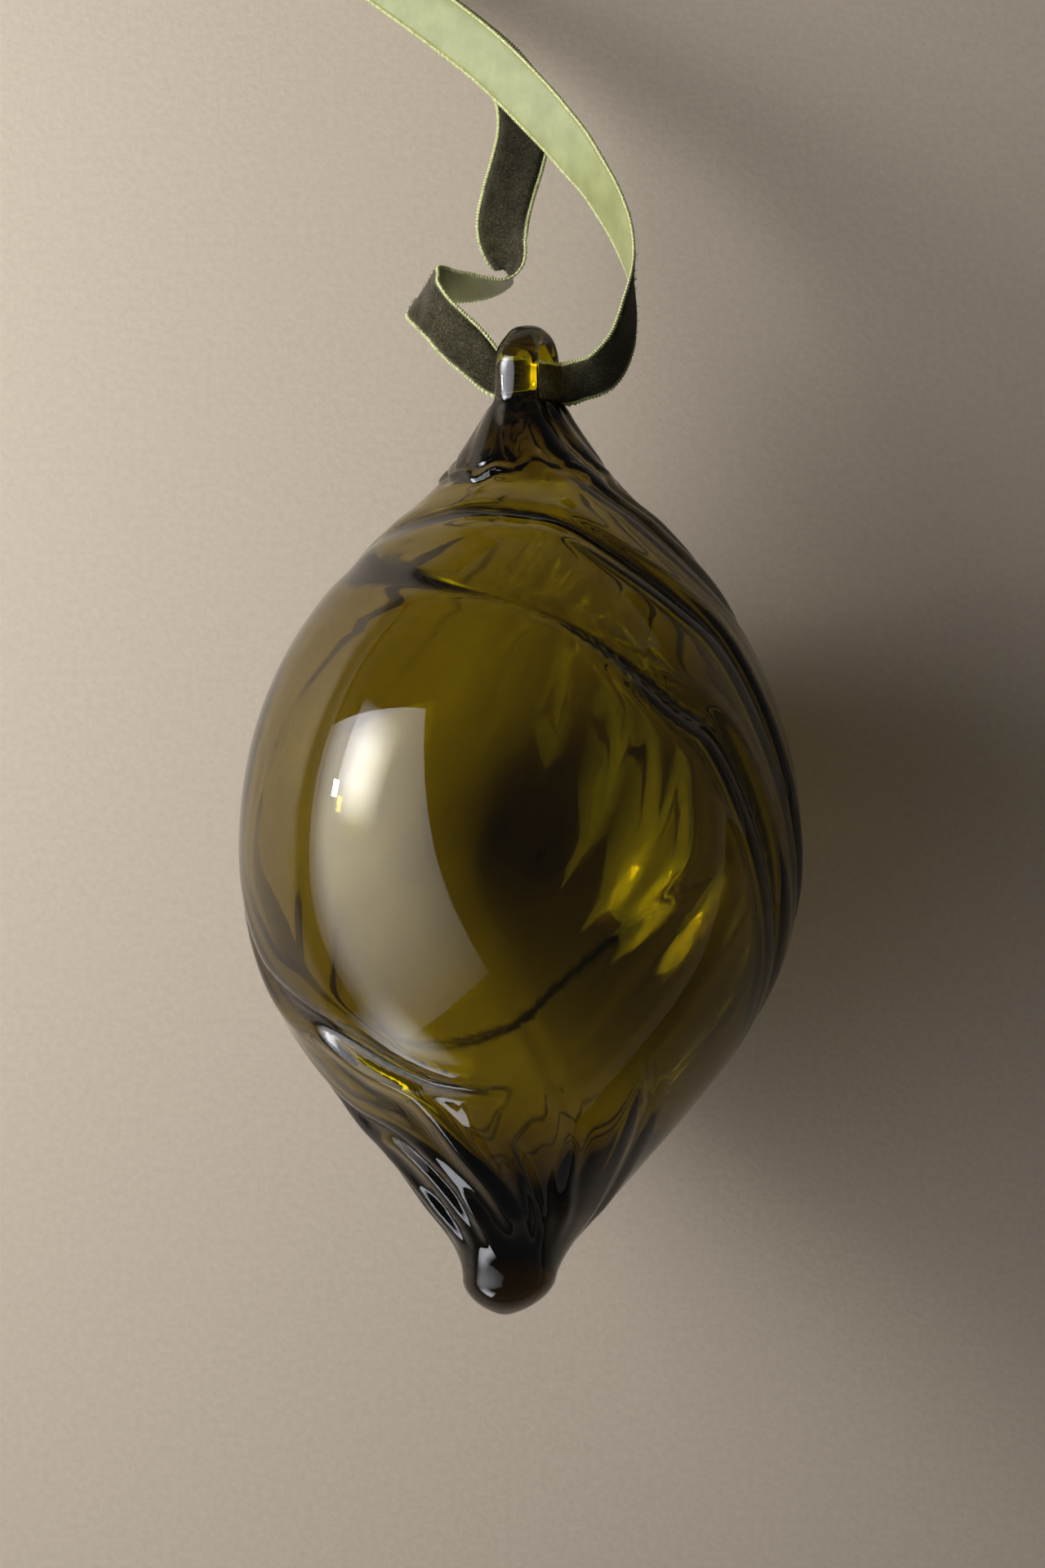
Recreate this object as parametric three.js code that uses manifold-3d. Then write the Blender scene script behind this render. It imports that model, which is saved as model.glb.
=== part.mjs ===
// Hand-blown glass teardrop ornament with a looped glass hook, hung on a loop of velvet ribbon.
// It lies on its side. Millimetres, +Z up. The ornament's axis runs along Y, from the nub at the
// tip (0) towards the hook, and the model is moved at the end so that the middle of the glass's
// footprint is the origin.

import * as THREE from 'three';
import { mergeVertices } from 'three/addons/utils/BufferGeometryUtils.js';
import Module from 'manifold-3d';

const wasm = await Module();
wasm.setup();

// Outline of the blown bulb: heights are measured along the axis from the end of the nub
const nubRadius = 6.9;
const nubHeight = 6;
const nubTaper = 1.4;
const nubCrease = 0.15;
const tipSweep = [7.5, 9.6];
const tipSweepEnd = [12.8, 15.5];
const wideRadius = 41;
const wideHeight = 67.9;
const shoulderRadius = 16.4;
const shoulderHeight = 117.9;
const rimRadius = 13.4;
const rimRise = 2.7;
const rimHeight = shoulderHeight + rimRise;
const lowerCone = [26.5, 33];
const lowerSwell = 23;
const upperSwell = 24;
const shoulderSweep = [12, 10];
const shoulderCrowding = 1.7;

// The bubble inside the bulb, which ends in a narrow neck under the hook
const wall = 2;
const bubbleEnd = 12;
const bubbleTip = [9, 18];
const bubbleShoulder = [27, -6.9];
const neckBore = 4;
const neckBoreLength = 4;
const boreOvershoot = 1;

// Folds of the glass, drawn for a bulb whose rim stands at foldRimHeight and scaled with it. Each
// stop is a height, an angle in degrees round from the front, the depth pressed in and the fold's
// half width. Going down, the folds wind to the right; a depth below zero is a ridge.
const foldRimHeight = 120.6;
const upperFold = [
  [112.6, -78, 0.5, 2.2], [114.6, -55, 0.9, 2.2], [115.9, -32, 1.1, 2], [115.6, -6, 1.2, 1.7],
  [114, 17, 1.25, 1.6], [109.5, 33, 1.3, 1.6], [103, 50, 1.3, 1.6], [97.6, 60, 1.25, 1.6],
  [84.5, 67, 1.2, 1.6], [72.6, 74, 1.1, 1.6], [60, 83, 0.9, 1.7], [48, 95, 0.7, 1.7],
  [36, 109, 0.8, 1.5], [24, 126, 0.8, 1.2], [14, 143, 0.6, 0.9], [9, 151, 0, 0.8],
];
const lowerFold = [
  [109.4, -112, 0.6, 2.6], [109.4, -92, 1.5, 2.7], [108.8, -66, 1.7, 2.5], [107.6, -42, 1.5, 2],
  [105.9, -20, 0.8, 1.4], [101.8, 0, 0.45, 1], [97.6, 17, 0.8, 1.2], [88.1, 37, 1.3, 1.6],
  [84.5, 46, 1.4, 1.7], [73.8, 55, 1.4, 1.8], [60.7, 65, 1.3, 1.8], [51.2, 75, 1, 1.7],
  [42, 86, 0.8, 1.6], [32, 99, 0.8, 1.4], [22, 114, 0.8, 1.1], [13, 131, 0.6, 0.9], [9, 137, 0, 0.8],
];
const leftFold = [
  [116.6, 214, 0.4, 1.8], [110, 226, 0.8, 1.8], [102, 236, 0.5, 1.8], [90, 248, 0.15, 1.8],
  [78, 258, 0.12, 1.9], [66, 270, 0.35, 2.1], [58, 276, 1, 2.3], [50, 283, 1.7, 2.4],
  [45, 298, 1.6, 2.2], [40.5, 315, 1.3, 1.9], [37.5, 325, 1.1, 1.6], [35.6, 336, 0.8, 1.3],
  [34.8, 347, 0.4, 1.1], [35.4, 356, 0, 1],
];
const tipFold = [
  [116, 190, 0.4, 1.8], [110, 200, 0.8, 1.8], [98, 213, 0.5, 1.8], [84, 228, 0.2, 1.8],
  [66, 242, 0.15, 1.8], [50, 257, 0.45, 1.8], [40, 269, 1, 1.8], [34, 276, 1.2, 1.8],
  [29.9, 286, 1.3, 1.7], [26.9, 307, 1.1, 1.3], [23.1, 316, 1, 1.1], [17, 326, 0.8, 0.9],
  [11.5, 333, 0, 0.8],
];
const leftRidge = [
  [46, -66, -0.2, 2], [40.6, -54, -0.9, 1.9], [37, -46, -1.1, 1.9], [33, -32, -1, 1.8],
  [24.6, -22, -0.8, 1.5], [19.6, -13, -0.6, 1.2], [14.8, -3.5, -0.4, 1], [9.5, 5, 0, 0.8],
];
const tipRidge = [
  [30, -82, -0.2, 1.8], [24.6, -70, -0.7, 1.8], [17.7, -62, -0.8, 1.6], [11, -58, -0.6, 1.3],
  [7.5, -48, 0, 1],
];
const drawnFolds = [upperFold, lowerFold, leftFold, tipFold, leftRidge, tipRidge];

// Folds down the sides and the back: each one's place in the twist that they share, in degrees, and
// the twist, the depth and the half width against height
const woundFolds = [46, 64, 82, 100, 118, 137, 157];
const twistStops = [
  [6, 142], [9, 137], [14, 129], [24, 112], [36, 95], [48, 81], [60, 69], [72.6, 60], [84.5, 53],
  [91, 49.5], [97.6, 45], [103, 36], [109.5, 20.5], [113, 14], [116, 9], [119, 1], [122, -10],
  [126, -29], [131, -43], [134, -48],
];
const woundDepth = [
  [8.5, 0], [14, 0.6], [24, 0.8], [36, 0.6], [50, 0.42], [66, 0.4], [84, 0.42], [96, 0.7],
  [108, 0.95], [114, 1], [117, 0.9], [120, 0.7],
];
const woundWidth = [
  [8.5, 0.8], [20, 1.1], [36, 1.7], [60, 2.2], [84, 2.1], [104, 1.7], [114, 1.4], [120, 1.2],
];
const woundTop = 120;
const woundFoot = 8.5;
const woundStops = 30;
const foldSteps = 90;
const foldLip = 0.22;
const foldLipPlace = 1.8;
const foldReach = 3.5;
const foldFade = [8, 17];
const leastWall = 0.6;

// Facets round the bulb, in degrees: closest together at the front right, where two folds run
const frontFacets = [-34, 30, 32];
const sideFacets = [30, 166, 28];
const leftFacets = [166, 326, 28];
const bubbleFacets = 40;
const coneFlutes = 11;
const facetsPerFlute = 6;
const flutePhase = THREE.MathUtils.degToRad(38);
const fluteSharpness = 1.6;

// The bulb is a little bent: the tip and the neck stand off the axis
const tipLean = -2.2;
const tipLeanHeight = 34;
const neckLean = 1.2;
const neckLeanLength = 24.6;

// The hook: a fluted cone fused to the neck, drawn into a limb that bends over into an eye
const fusedGap = 0.3;
const spigotLength = 3;
const spigotClearance = 0.3;
const coneRise = 11.6;
const coneTopHalfWidth = 5.6;
const coneTopHalfDepth = 7;
const coneBend = [2.7, 4.2];
const fluteDepth = 0.6;
const hookRise = 12.1;
const limbHalfWidth = 3;
const limbHalfThickness = 1.9;
const eyeClearDepth = 5.6;
const limbFootDrop = 5.7;
const limbFootSpread = 1.25;
const limbFlute = 0.05;
const limbFluteTurns = 0.6;
const pressedEnd = [3.3, 3.2, 2.3];
const pressedEndDrop = 3.3;
const eyeTurn = THREE.MathUtils.degToRad(22);

// The ribbon: one side velvet, the other satin
const ribbonWidth = 8;
const ribbonThickness = 1.2;
const ribbonSelvage = 0.5;
const bightWidth = 6.2;
const bightBack = 1;
const bightRise = 0.8;
const bightTilt = THREE.MathUtils.degToRad(12);
const mouthReach = 5.2;
const mouthGap = 0.5;
const spreadShare = 0.08;
const pieceGap = 0.3;
const knotLength = 11;
const knotRadius = 5;
const knotWaist = 4.2;
const knotEndRadius = 3.6;
const knotPlace = [-37.8, 77.85];
const knotFlattening = 0.84;
const floorClearance = 0.15;

// Heights of the hook, one above the other from the rim
const coneTopHeight = rimHeight + coneRise;
const hookTopHeight = coneTopHeight + hookRise;
const limbFootHeight = coneTopHeight - limbFootDrop;
const pressedEndHeight = coneTopHeight - pressedEndDrop;

// Centre of the eye, where the ribbon passes and about which its loop swings
const loopRadius = eyeClearDepth / 2 + limbHalfThickness;
const eyeTopHeight = hookTopHeight - 2 * limbHalfThickness;
const eyeHeight = (coneTopHeight + eyeTopHeight) / 2;
const boreDirection = new THREE.Vector3(Math.cos(eyeTurn), 0, Math.sin(eyeTurn));
const backDirection = new THREE.Vector3(Math.sin(eyeTurn), 0, -Math.cos(eyeTurn));

// Sideways stand of the axis at a height
function lean(height) {
  const towardsTip = Math.max(0, 1 - height / tipLeanHeight);
  const towardsNeck = THREE.MathUtils.smoothstep(height, rimHeight - neckLeanLength, rimHeight);
  return tipLean * towardsTip ** 2 + neckLean * towardsNeck;
}

const eyeCentre = new THREE.Vector3(lean(eyeHeight), eyeHeight, 0);

// Outer outline as points (radius, height), from the end of the nub to the rim
function outerOutline() {
  const nub = [];
  const nubSteps = 4;
  for (let i = 1; i <= nubSteps; i += 1) {
    const turn = (i / nubSteps) * (Math.PI / 2);
    nub.push(new THREE.Vector2(nubRadius * Math.sin(turn) ** nubTaper, nubHeight * (1 - Math.cos(turn))));
  }
  nub.at(-1).x -= nubCrease;
  const sweep = new THREE.QuadraticBezierCurve(
    new THREE.Vector2(nubRadius, nubHeight),
    new THREE.Vector2(...tipSweep),
    new THREE.Vector2(...tipSweepEnd),
  ).getPoints(4);
  const lower = new THREE.CubicBezierCurve(
    new THREE.Vector2(...tipSweepEnd),
    new THREE.Vector2(...lowerCone),
    new THREE.Vector2(wideRadius, wideHeight - lowerSwell),
    new THREE.Vector2(wideRadius, wideHeight),
  ).getPoints(14);
  const shoulder = new THREE.CubicBezierCurve(
    new THREE.Vector2(wideRadius, wideHeight),
    new THREE.Vector2(wideRadius, wideHeight + upperSwell),
    new THREE.Vector2(shoulderRadius + shoulderSweep[0], shoulderHeight - shoulderSweep[1]),
    new THREE.Vector2(shoulderRadius, shoulderHeight),
  );
  const upperSteps = 21;
  const upper = Array.from({ length: upperSteps }, (unused, index) => (
    shoulder.getPoint(1 - (1 - (index + 1) / upperSteps) ** shoulderCrowding)
  ));
  const rim = new THREE.Vector2(rimRadius, rimHeight);
  return [...nub, ...sweep.slice(1), ...lower.slice(1), ...upper, rim];
}

// Outline of the bubble, from the rim's bore down to the bubble's closed end
function bubbleOutline() {
  const boreFoot = rimHeight - neckBoreLength;
  const upper = new THREE.CubicBezierCurve(
    new THREE.Vector2(neckBore, boreFoot),
    new THREE.Vector2(bubbleShoulder[0], shoulderHeight + bubbleShoulder[1]),
    new THREE.Vector2(wideRadius - wall, wideHeight + upperSwell - wall),
    new THREE.Vector2(wideRadius - wall, wideHeight),
  ).getPoints(8);
  const lower = new THREE.CubicBezierCurve(
    new THREE.Vector2(wideRadius - wall, wideHeight),
    new THREE.Vector2(wideRadius - wall, wideHeight - lowerSwell - wall),
    new THREE.Vector2(...bubbleTip),
    new THREE.Vector2(0, bubbleEnd),
  ).getPoints(9);
  return [new THREE.Vector2(neckBore, rimHeight + boreOvershoot), ...upper, ...lower.slice(1, -1)];
}

// Value at a height from stops of height and value
function valueAt(stops, height) {
  const next = stops.findIndex((stop) => stop[0] >= height);
  if (next < 1) return (next === 0 ? stops[0] : stops.at(-1))[1];
  const [before, after] = [stops[next - 1], stops[next]];
  return THREE.MathUtils.mapLinear(height, before[0], after[0], before[1], after[1]);
}

// Twist of the folds at a height of the bulb, in radians
const foldScale = rimHeight / foldRimHeight;
function twistAt(height) {
  return THREE.MathUtils.degToRad(valueAt(twistStops, height / foldScale));
}

// Point at an angle on a ring whose half widths lie across and along the plane of the hook's eye
function ringPoint(height, angle, halfWidth, halfDepth, pressedIn) {
  const across = Math.sin(angle + eyeTurn) / halfWidth;
  const along = Math.cos(angle + eyeTurn) / halfDepth;
  const radius = 1 / Math.hypot(across, along) - pressedIn;
  return new THREE.Vector3(lean(height) + radius * Math.sin(angle), height, radius * Math.cos(angle));
}

// A fold as points on the bulb's outline, each with its depth and half width
const outline = outerOutline();
const outlineStops = outline.map((point) => [point.y, point.x]);
function foldLine(stops) {
  const places = new THREE.CatmullRomCurve3(stops.map((stop) => new THREE.Vector3(stop[0], stop[1] / 10, 0)));
  return Array.from({ length: foldSteps + 1 }, (unused, index) => {
    const share = index / foldSteps;
    const place = places.getPoint(share);
    const along = share * (stops.length - 1);
    const from = stops[Math.min(stops.length - 2, Math.floor(along))];
    const to = stops[Math.min(stops.length - 1, Math.floor(along) + 1)];
    const height = place.x * foldScale;
    const radius = valueAt(outlineStops, height);
    return {
      point: ringPoint(height, THREE.MathUtils.degToRad(place.y * 10), radius, radius, 0),
      depth: THREE.MathUtils.lerp(from[2], to[2], along - Math.floor(along)),
      width: THREE.MathUtils.lerp(from[3], to[3], along - Math.floor(along)),
    };
  });
}

const wound = woundFolds.map((place) => Array.from({ length: woundStops }, (unused, index) => {
  const height = THREE.MathUtils.lerp(woundTop, woundFoot, index / (woundStops - 1));
  return [height, place + valueAt(twistStops, height), valueAt(woundDepth, height), valueAt(woundWidth, height)];
}));
const folds = [...drawnFolds, ...wound].map(foldLine);

// How far the folds press in a point of the outline, with a raised lip beside each
function pressedIn(point) {
  return folds.reduce((sum, line) => {
    let nearest = line[0];
    line.forEach((stop) => {
      if (stop.point.distanceToSquared(point) < nearest.point.distanceToSquared(point)) nearest = stop;
    });
    const away = nearest.point.distanceTo(point) / nearest.width;
    if (away > foldReach) return sum;
    const lip = foldLip * Math.exp(-((away - foldLipPlace) ** 2));
    return sum + nearest.depth * (Math.exp(-away * away) - lip);
  }, 0);
}

// Angles of the bulb's facets, before the twist
const facetAngles = [frontFacets, sideFacets, leftFacets].flatMap(([from, to, count]) => (
  Array.from({ length: count }, (unused, index) => THREE.MathUtils.degToRad(from + ((to - from) * index) / count))
));

// Closed solid through rings of equal count, each end closed on a point
function loft(rings, startPoint, endPoint) {
  const count = rings[0].length;
  const points = [startPoint, ...rings.flat(), endPoint];
  const faces = [];
  const at = (ring, index) => 1 + ring * count + (index % count);
  for (let i = 0; i < count; i += 1) {
    faces.push(0, at(0, i + 1), at(0, i));
    faces.push(points.length - 1, at(rings.length - 1, i), at(rings.length - 1, i + 1));
    for (let ring = 0; ring < rings.length - 1; ring += 1) {
      faces.push(at(ring, i), at(ring + 1, i + 1), at(ring + 1, i));
      faces.push(at(ring, i), at(ring, i + 1), at(ring + 1, i + 1));
    }
  }
  const geometry = new THREE.BufferGeometry();
  geometry.setAttribute('position', new THREE.Float32BufferAttribute(points.flatMap((p) => p.toArray()), 3));
  geometry.setIndex(faces);
  return geometry;
}

// Middle point of a ring
function middle(ring) {
  return ring.reduce((sum, point) => sum.add(point), new THREE.Vector3()).divideScalar(ring.length);
}

// Solid for cutting and joining, from a closed geometry
function solid(geometry) {
  const bare = geometry.clone();
  bare.deleteAttribute('normal');
  bare.deleteAttribute('uv');
  const merged = mergeVertices(bare, 1e-4);
  const vertProperties = merged.attributes.position.array;
  const triVerts = new Uint32Array(merged.index.array);
  return new wasm.Manifold(new wasm.Mesh({ numProp: 3, vertProperties, triVerts }));
}

// Geometry of a solid, with flat normals
function geometryOf(body) {
  const { vertProperties, triVerts } = body.getMesh();
  const geometry = new THREE.BufferGeometry();
  geometry.setAttribute('position', new THREE.BufferAttribute(vertProperties, 3));
  geometry.setIndex(new THREE.BufferAttribute(triVerts, 1));
  return geometry;
}

// The blown bulb: folded outside, smooth in its bubble, and open at the neck
function bulbGeometry() {
  const outer = outline.map((place) => {
    const fade = THREE.MathUtils.smoothstep(place.y, foldFade[0], foldFade[1]);
    const angles = facetAngles.map((angle) => angle + twistAt(place.y));
    const depths = angles.map((angle) => (
      Math.min(wall - leastWall, fade * pressedIn(ringPoint(place.y, angle, place.x, place.x, 0)))
    ));
    return angles.map((angle, index) => ringPoint(place.y, angle, place.x, place.x, depths[index]));
  });
  const inner = bubbleOutline().reverse().map((place) => (
    Array.from({ length: bubbleFacets }, (unused, index) => (
      ringPoint(place.y, (index / bubbleFacets) * 2 * Math.PI, place.x, place.x, 0)
    ))
  ));
  const end = new THREE.Vector3(lean(bubbleEnd), bubbleEnd, 0);
  const body = solid(loft(outer, new THREE.Vector3(lean(0), 0, 0), middle(outer.at(-1))));
  return geometryOf(body.subtract(solid(loft(inner, end, middle(inner.at(-1))))));
}

// The fluted cone of the hook, seated on the rim with a spigot in the neck's bore
function coneSolid() {
  const seat = rimHeight + fusedGap;
  const slope = (shoulderRadius - rimRadius) / (rimHeight - shoulderHeight);
  const seatRadius = rimRadius - slope * fusedGap;
  const shape = (topHalf) => new THREE.CubicBezierCurve(
    new THREE.Vector2(seatRadius, seat),
    new THREE.Vector2(seatRadius - coneBend[0], seat + coneBend[0]),
    new THREE.Vector2(topHalf + coneBend[1] / 3, coneTopHeight - coneBend[1]),
    new THREE.Vector2(topHalf, coneTopHeight),
  ).getPoints(8);
  const widths = shape(coneTopHalfWidth);
  const depths = shape(coneTopHalfDepth);
  const facets = coneFlutes * facetsPerFlute;
  const rings = widths.map((place, index) => (
    Array.from({ length: facets }, (unused, facet) => {
      const around = (facet / facets) * 2 * Math.PI;
      const flute = fluteDepth * ((1 + Math.cos(coneFlutes * around)) / 2) ** fluteSharpness;
      return ringPoint(place.y, around + twistAt(place.y) + flutePhase, place.x, depths[index].x, flute);
    })
  ));
  const cone = solid(loft(rings, middle(rings[0]), middle(rings.at(-1))));
  const spigot = new THREE.CylinderGeometry(
    neckBore - spigotClearance,
    neckBore - spigotClearance,
    spigotLength + 1,
    24,
  );
  spigot.translate(lean(seat), seat + (1 - spigotLength) / 2, 0);
  return cone.add(solid(spigot));
}

// The limb: up the front, over the eye and down the back, in the plane of the eye
function limbSolid() {
  const archCentre = hookTopHeight - limbHalfThickness - loopRadius;
  const route = [];
  const legSteps = 5;
  const archSteps = 14;
  for (let i = 0; i < legSteps; i += 1) {
    const share = i / legSteps;
    const inward = limbFootSpread * (1 - share) ** 2;
    const height = THREE.MathUtils.lerp(limbFootHeight, archCentre, share);
    route.push(new THREE.Vector2(loopRadius - inward, height));
  }
  for (let i = 0; i <= archSteps; i += 1) {
    const turn = (i / archSteps) * Math.PI;
    route.push(new THREE.Vector2(loopRadius * Math.cos(turn), archCentre + loopRadius * Math.sin(turn)));
  }
  const backLeg = route.slice(1, legSteps).reverse();
  route.push(...backLeg.map((point) => new THREE.Vector2(-point.x, point.y)));
  const sides = 16;
  const rings = route.map((point, index) => {
    const before = route[Math.max(0, index - 1)];
    const after = route[Math.min(route.length - 1, index + 1)];
    const heading = after.clone().sub(before).normalize();
    const share = index / (route.length - 1);
    const footing = 1 + 0.3 * Math.max(0, 1 - share * 4);
    return Array.from({ length: sides }, (unused, side) => {
      const angle = (side / sides) * 2 * Math.PI;
      const flute = 1 + limbFlute * Math.cos(3 * (angle - limbFluteTurns * 2 * Math.PI * share));
      const across = -limbHalfWidth * footing * flute * Math.cos(angle);
      const out = limbHalfThickness * footing * flute * Math.sin(angle);
      return new THREE.Vector3(across, point.y - heading.x * out, point.x + heading.y * out);
    });
  });
  const limb = solid(loft(rings, middle(rings[0]), middle(rings.at(-1))));
  const end = new THREE.SphereGeometry(1, 16, 10);
  end.scale(...pressedEnd);
  end.translate(0, pressedEndHeight, -loopRadius);
  return limb.add(solid(end));
}

// The hook, its eye turned so that the limb comes up left of the middle
function hookGeometry() {
  const turned = new THREE.Matrix4().makeRotationY(-eyeTurn).setPosition(eyeCentre.x, 0, 0);
  const limb = geometryOf(limbSolid()).applyMatrix4(turned);
  return geometryOf(coneSolid().add(solid(limb)));
}

// Ribbon through stops, each with its place and the way that its velvet faces; an end that meets
// another stretch is cut square to the heading given for it
function ribbonGeometry(stops, steps, widthAt, startHeading, endHeading) {
  const places = new THREE.CatmullRomCurve3(stops.map((stop) => new THREE.Vector3(...stop.at)));
  const faces = new THREE.CatmullRomCurve3(stops.map((stop) => new THREE.Vector3(...stop.face)));
  const rings = Array.from({ length: steps + 1 }, (unused, step) => {
    const share = step / steps;
    const centre = places.getPoint(share);
    const cut = (step === 0 && startHeading) || (step === steps && endHeading);
    const heading = cut || places.getTangent(share);
    const across = new THREE.Vector3().crossVectors(heading, faces.getPoint(share)).normalize();
    const out = new THREE.Vector3().crossVectors(heading, across);
    const half = widthAt(share) / 2;
    const thick = ribbonThickness / 2;
    const section = [
      [half, 0],
      [half - ribbonSelvage, thick],
      [0, thick],
      [ribbonSelvage - half, thick],
      [-half, 0],
      [ribbonSelvage - half, -thick],
      [0, -thick],
      [half - ribbonSelvage, -thick],
    ];
    return section.map(([along, up]) => centre.clone().addScaledVector(across, along).addScaledVector(out, up));
  });
  return loft(rings, middle(rings[0]), middle(rings.at(-1)));
}

// Velvet's facing at the eye: towards the front and a little towards the tip
const bightFace = new THREE.Vector3(0, -Math.sin(bightTilt), 0).addScaledVector(backDirection, -Math.cos(bightTilt));

// Place on the bight's line: along the bore from the middle of the eye, resting on the back limb
function bightPlace(reach) {
  return eyeCentre.clone()
    .addScaledVector(boreDirection, reach)
    .addScaledVector(backDirection, bightBack)
    .add(new THREE.Vector3(0, (-bightRise * reach) / mouthReach, 0));
}

// Place measured from the middle of the eye
function fromEye(x, y, z) {
  return [eyeCentre.x + x, eyeCentre.y + y, eyeCentre.z + z];
}

// The stretch inside the eye
function bightGeometry() {
  const reach = mouthReach - mouthGap;
  const stops = [-1, -0.4, 0.4, 1].map((share) => ({
    at: bightPlace(reach * share).toArray(),
    face: bightFace.toArray(),
  }));
  return ribbonGeometry(stops, 6, () => bightWidth, boreDirection, boreDirection);
}

// The right strand: out of the eye, up on edge, then over with its satin to the front
const rightRoute = [
  { at: bightPlace(mouthReach).toArray(), face: bightFace.toArray() },
  { at: fromEye(6.9, -0.35, 1.6), face: [-0.1, -0.5, 0.85] },
  { at: fromEye(10.4, 0.85, 2.3), face: [0.35, -0.6, 0.71] },
  { at: fromEye(13.2, 4.55, 2), face: [0.77, -0.39, 0.52] },
  { at: fromEye(14.6, 9.95, 1), face: [0.93, -0.19, 0.31] },
  { at: fromEye(15, 15.45, -0.5), face: [1, 0.05, -0.03] },
  { at: fromEye(13.7, 21.75, -2.5), face: [0.86, 0.3, -0.39] },
  { at: fromEye(10.6, 28.55, -5.5), face: [0.69, 0.39, -0.59] },
  { at: fromEye(6.2, 35.35, -9), face: [0.5, 0.39, -0.77] },
  { at: fromEye(0.4, 42.65, -13), face: [0.38, 0.32, -0.87] },
  { at: fromEye(-6.1, 49.85, -17.5), face: [0.3, 0.29, -0.91] },
  { at: fromEye(-12.6, 55.75, -21.5), face: [0.25, 0.25, -0.93] },
  { at: fromEye(-19.5, 61.55, -25.5), face: [0.2, 0.2, -0.95] },
  { at: fromEye(-26.7, 67.55, -29.8), face: [0.15, 0.15, -0.97] },
];

// The left strand: out of the eye, down and back under itself, up under the right strand
const leftRoute = [
  { at: bightPlace(-mouthReach).toArray(), face: bightFace.toArray() },
  { at: fromEye(-8.6, 4.75, -2.9), face: [-0.36, -0.36, 0.84] },
  { at: fromEye(-12.2, 8.35, -3.9), face: [-0.42, -0.42, 0.79] },
  { at: fromEye(-14.5, 11.25, -5.9), face: [-0.74, 0.03, 0.65] },
  { at: fromEye(-15.5, 13.35, -9.2), face: [-0.76, 0.62, 0.07] },
  { at: fromEye(-14.7, 14.75, -12.5), face: [-0.7, 0.6, -0.35] },
  { at: fromEye(-12.4, 15.25, -14.2), face: [-0.25, 0.8, -0.5] },
  { at: fromEye(-8.8, 15.15, -14.2), face: [0, 0.9, -0.42] },
  { at: fromEye(-5.5, 15.25, -13.6), face: [-0.05, 0.97, -0.22] },
  { at: fromEye(-2.8, 16.05, -13), face: [-0.55, 0.8, 0] },
  { at: fromEye(-2.1, 18.25, -12.8), face: [-0.9, 0.1, 0.4] },
  { at: fromEye(-3.3, 20.95, -13), face: [-0.55, 0, 0.8] },
  { at: fromEye(-3.8, 24.45, -14), face: [-0.25, 0.2, 0.95] },
  { at: fromEye(-3, 29.05, -16), face: [-0.1, 0.35, 0.92] },
  { at: fromEye(-1.6, 34.35, -18.5), face: [0, 0.4, 0.9] },
  { at: fromEye(-0.6, 39.65, -21), face: [0, 0.4, 0.9] },
  { at: fromEye(-1.1, 45.05, -23.5), face: [0, 0.4, 0.9] },
  { at: fromEye(-4, 49.85, -26), face: [0, 0.3, 0.93] },
  { at: fromEye(-8.9, 54.55, -28.2), face: [0, 0.3, 0.95] },
  { at: fromEye(-14.6, 59.25, -30.4), face: [0, 0.25, 0.95] },
  { at: fromEye(-20.9, 64.25, -32.6), face: [0, 0.22, 0.95] },
  { at: fromEye(-27.4, 69.55, -34.8), face: [0, 0.2, 0.95] },
];

const knotHeading = new THREE.Vector3(-0.76, 0.65, 0).normalize();
const layerRise = (ribbonThickness + pieceGap) / 2;

// Place at an end of the knot, above or below its middle plane, where a layer of ribbon meets it
function knotEnd(knotCentre, side, layer) {
  const place = knotCentre.clone().addScaledVector(knotHeading, side * (knotLength / 2 + pieceGap));
  return place.add(new THREE.Vector3(0, 0, layer * layerRise)).toArray();
}

// A strand from the eye to the knot, which spreads to the ribbon's full width as it leaves the eye
function strandGeometry(route, steps, startHeading, end, face) {
  const widthAt = (share) => THREE.MathUtils.lerp(bightWidth, ribbonWidth, Math.min(1, share / spreadShare));
  return ribbonGeometry([...route, { at: end, face }], steps, widthAt, startHeading, knotHeading);
}

// The knot that closes the loop, a waisted lump with blunt ends
function knotGeometry(knotCentre) {
  const half = knotLength / 2;
  const bulge = new THREE.SplineCurve([
    new THREE.Vector2(knotEndRadius, -half),
    new THREE.Vector2(knotRadius, -half / 2),
    new THREE.Vector2(knotWaist, 0),
    new THREE.Vector2(knotRadius, half / 2),
    new THREE.Vector2(knotEndRadius, half),
  ]).getPoints(12);
  const profile = [new THREE.Vector2(0, -half), ...bulge, new THREE.Vector2(0, half)];
  const knot = new THREE.LatheGeometry(profile, 16);
  knot.applyQuaternion(new THREE.Quaternion().setFromUnitVectors(new THREE.Vector3(0, 1, 0), knotHeading));
  knot.scale(1, 1, knotFlattening);
  knot.translate(...knotCentre.toArray());
  return knot;
}

// A tail of ribbon from the knot down to the floor, by places measured from the knot and a rise at each
function tailGeometry(knotCentre, layer, floor, route) {
  const lie = floor + floorClearance + ribbonThickness / 2;
  const stops = [
    { at: knotEnd(knotCentre, 1, layer), face: [0, 0, 1] },
    ...route.map(([x, y, rise]) => ({
      at: [knotCentre.x + x, knotCentre.y + y, lie + rise],
      face: [0, 0, 1],
    })),
  ];
  return ribbonGeometry(stops, 10, () => ribbonWidth, knotHeading);
}

const longTail = [[-6.3, 8.2, 2.2], [-9.0, 13.8, 0.5], [-11.0, 19.8, 0], [-12.2, 26.2, 0]];
const shortTail = [[-10.0, 5.4, 4.6], [-15.8, 7.2, 2.7], [-22.0, 8.0, 1.0], [-28.6, 7.8, 0.1]];

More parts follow.
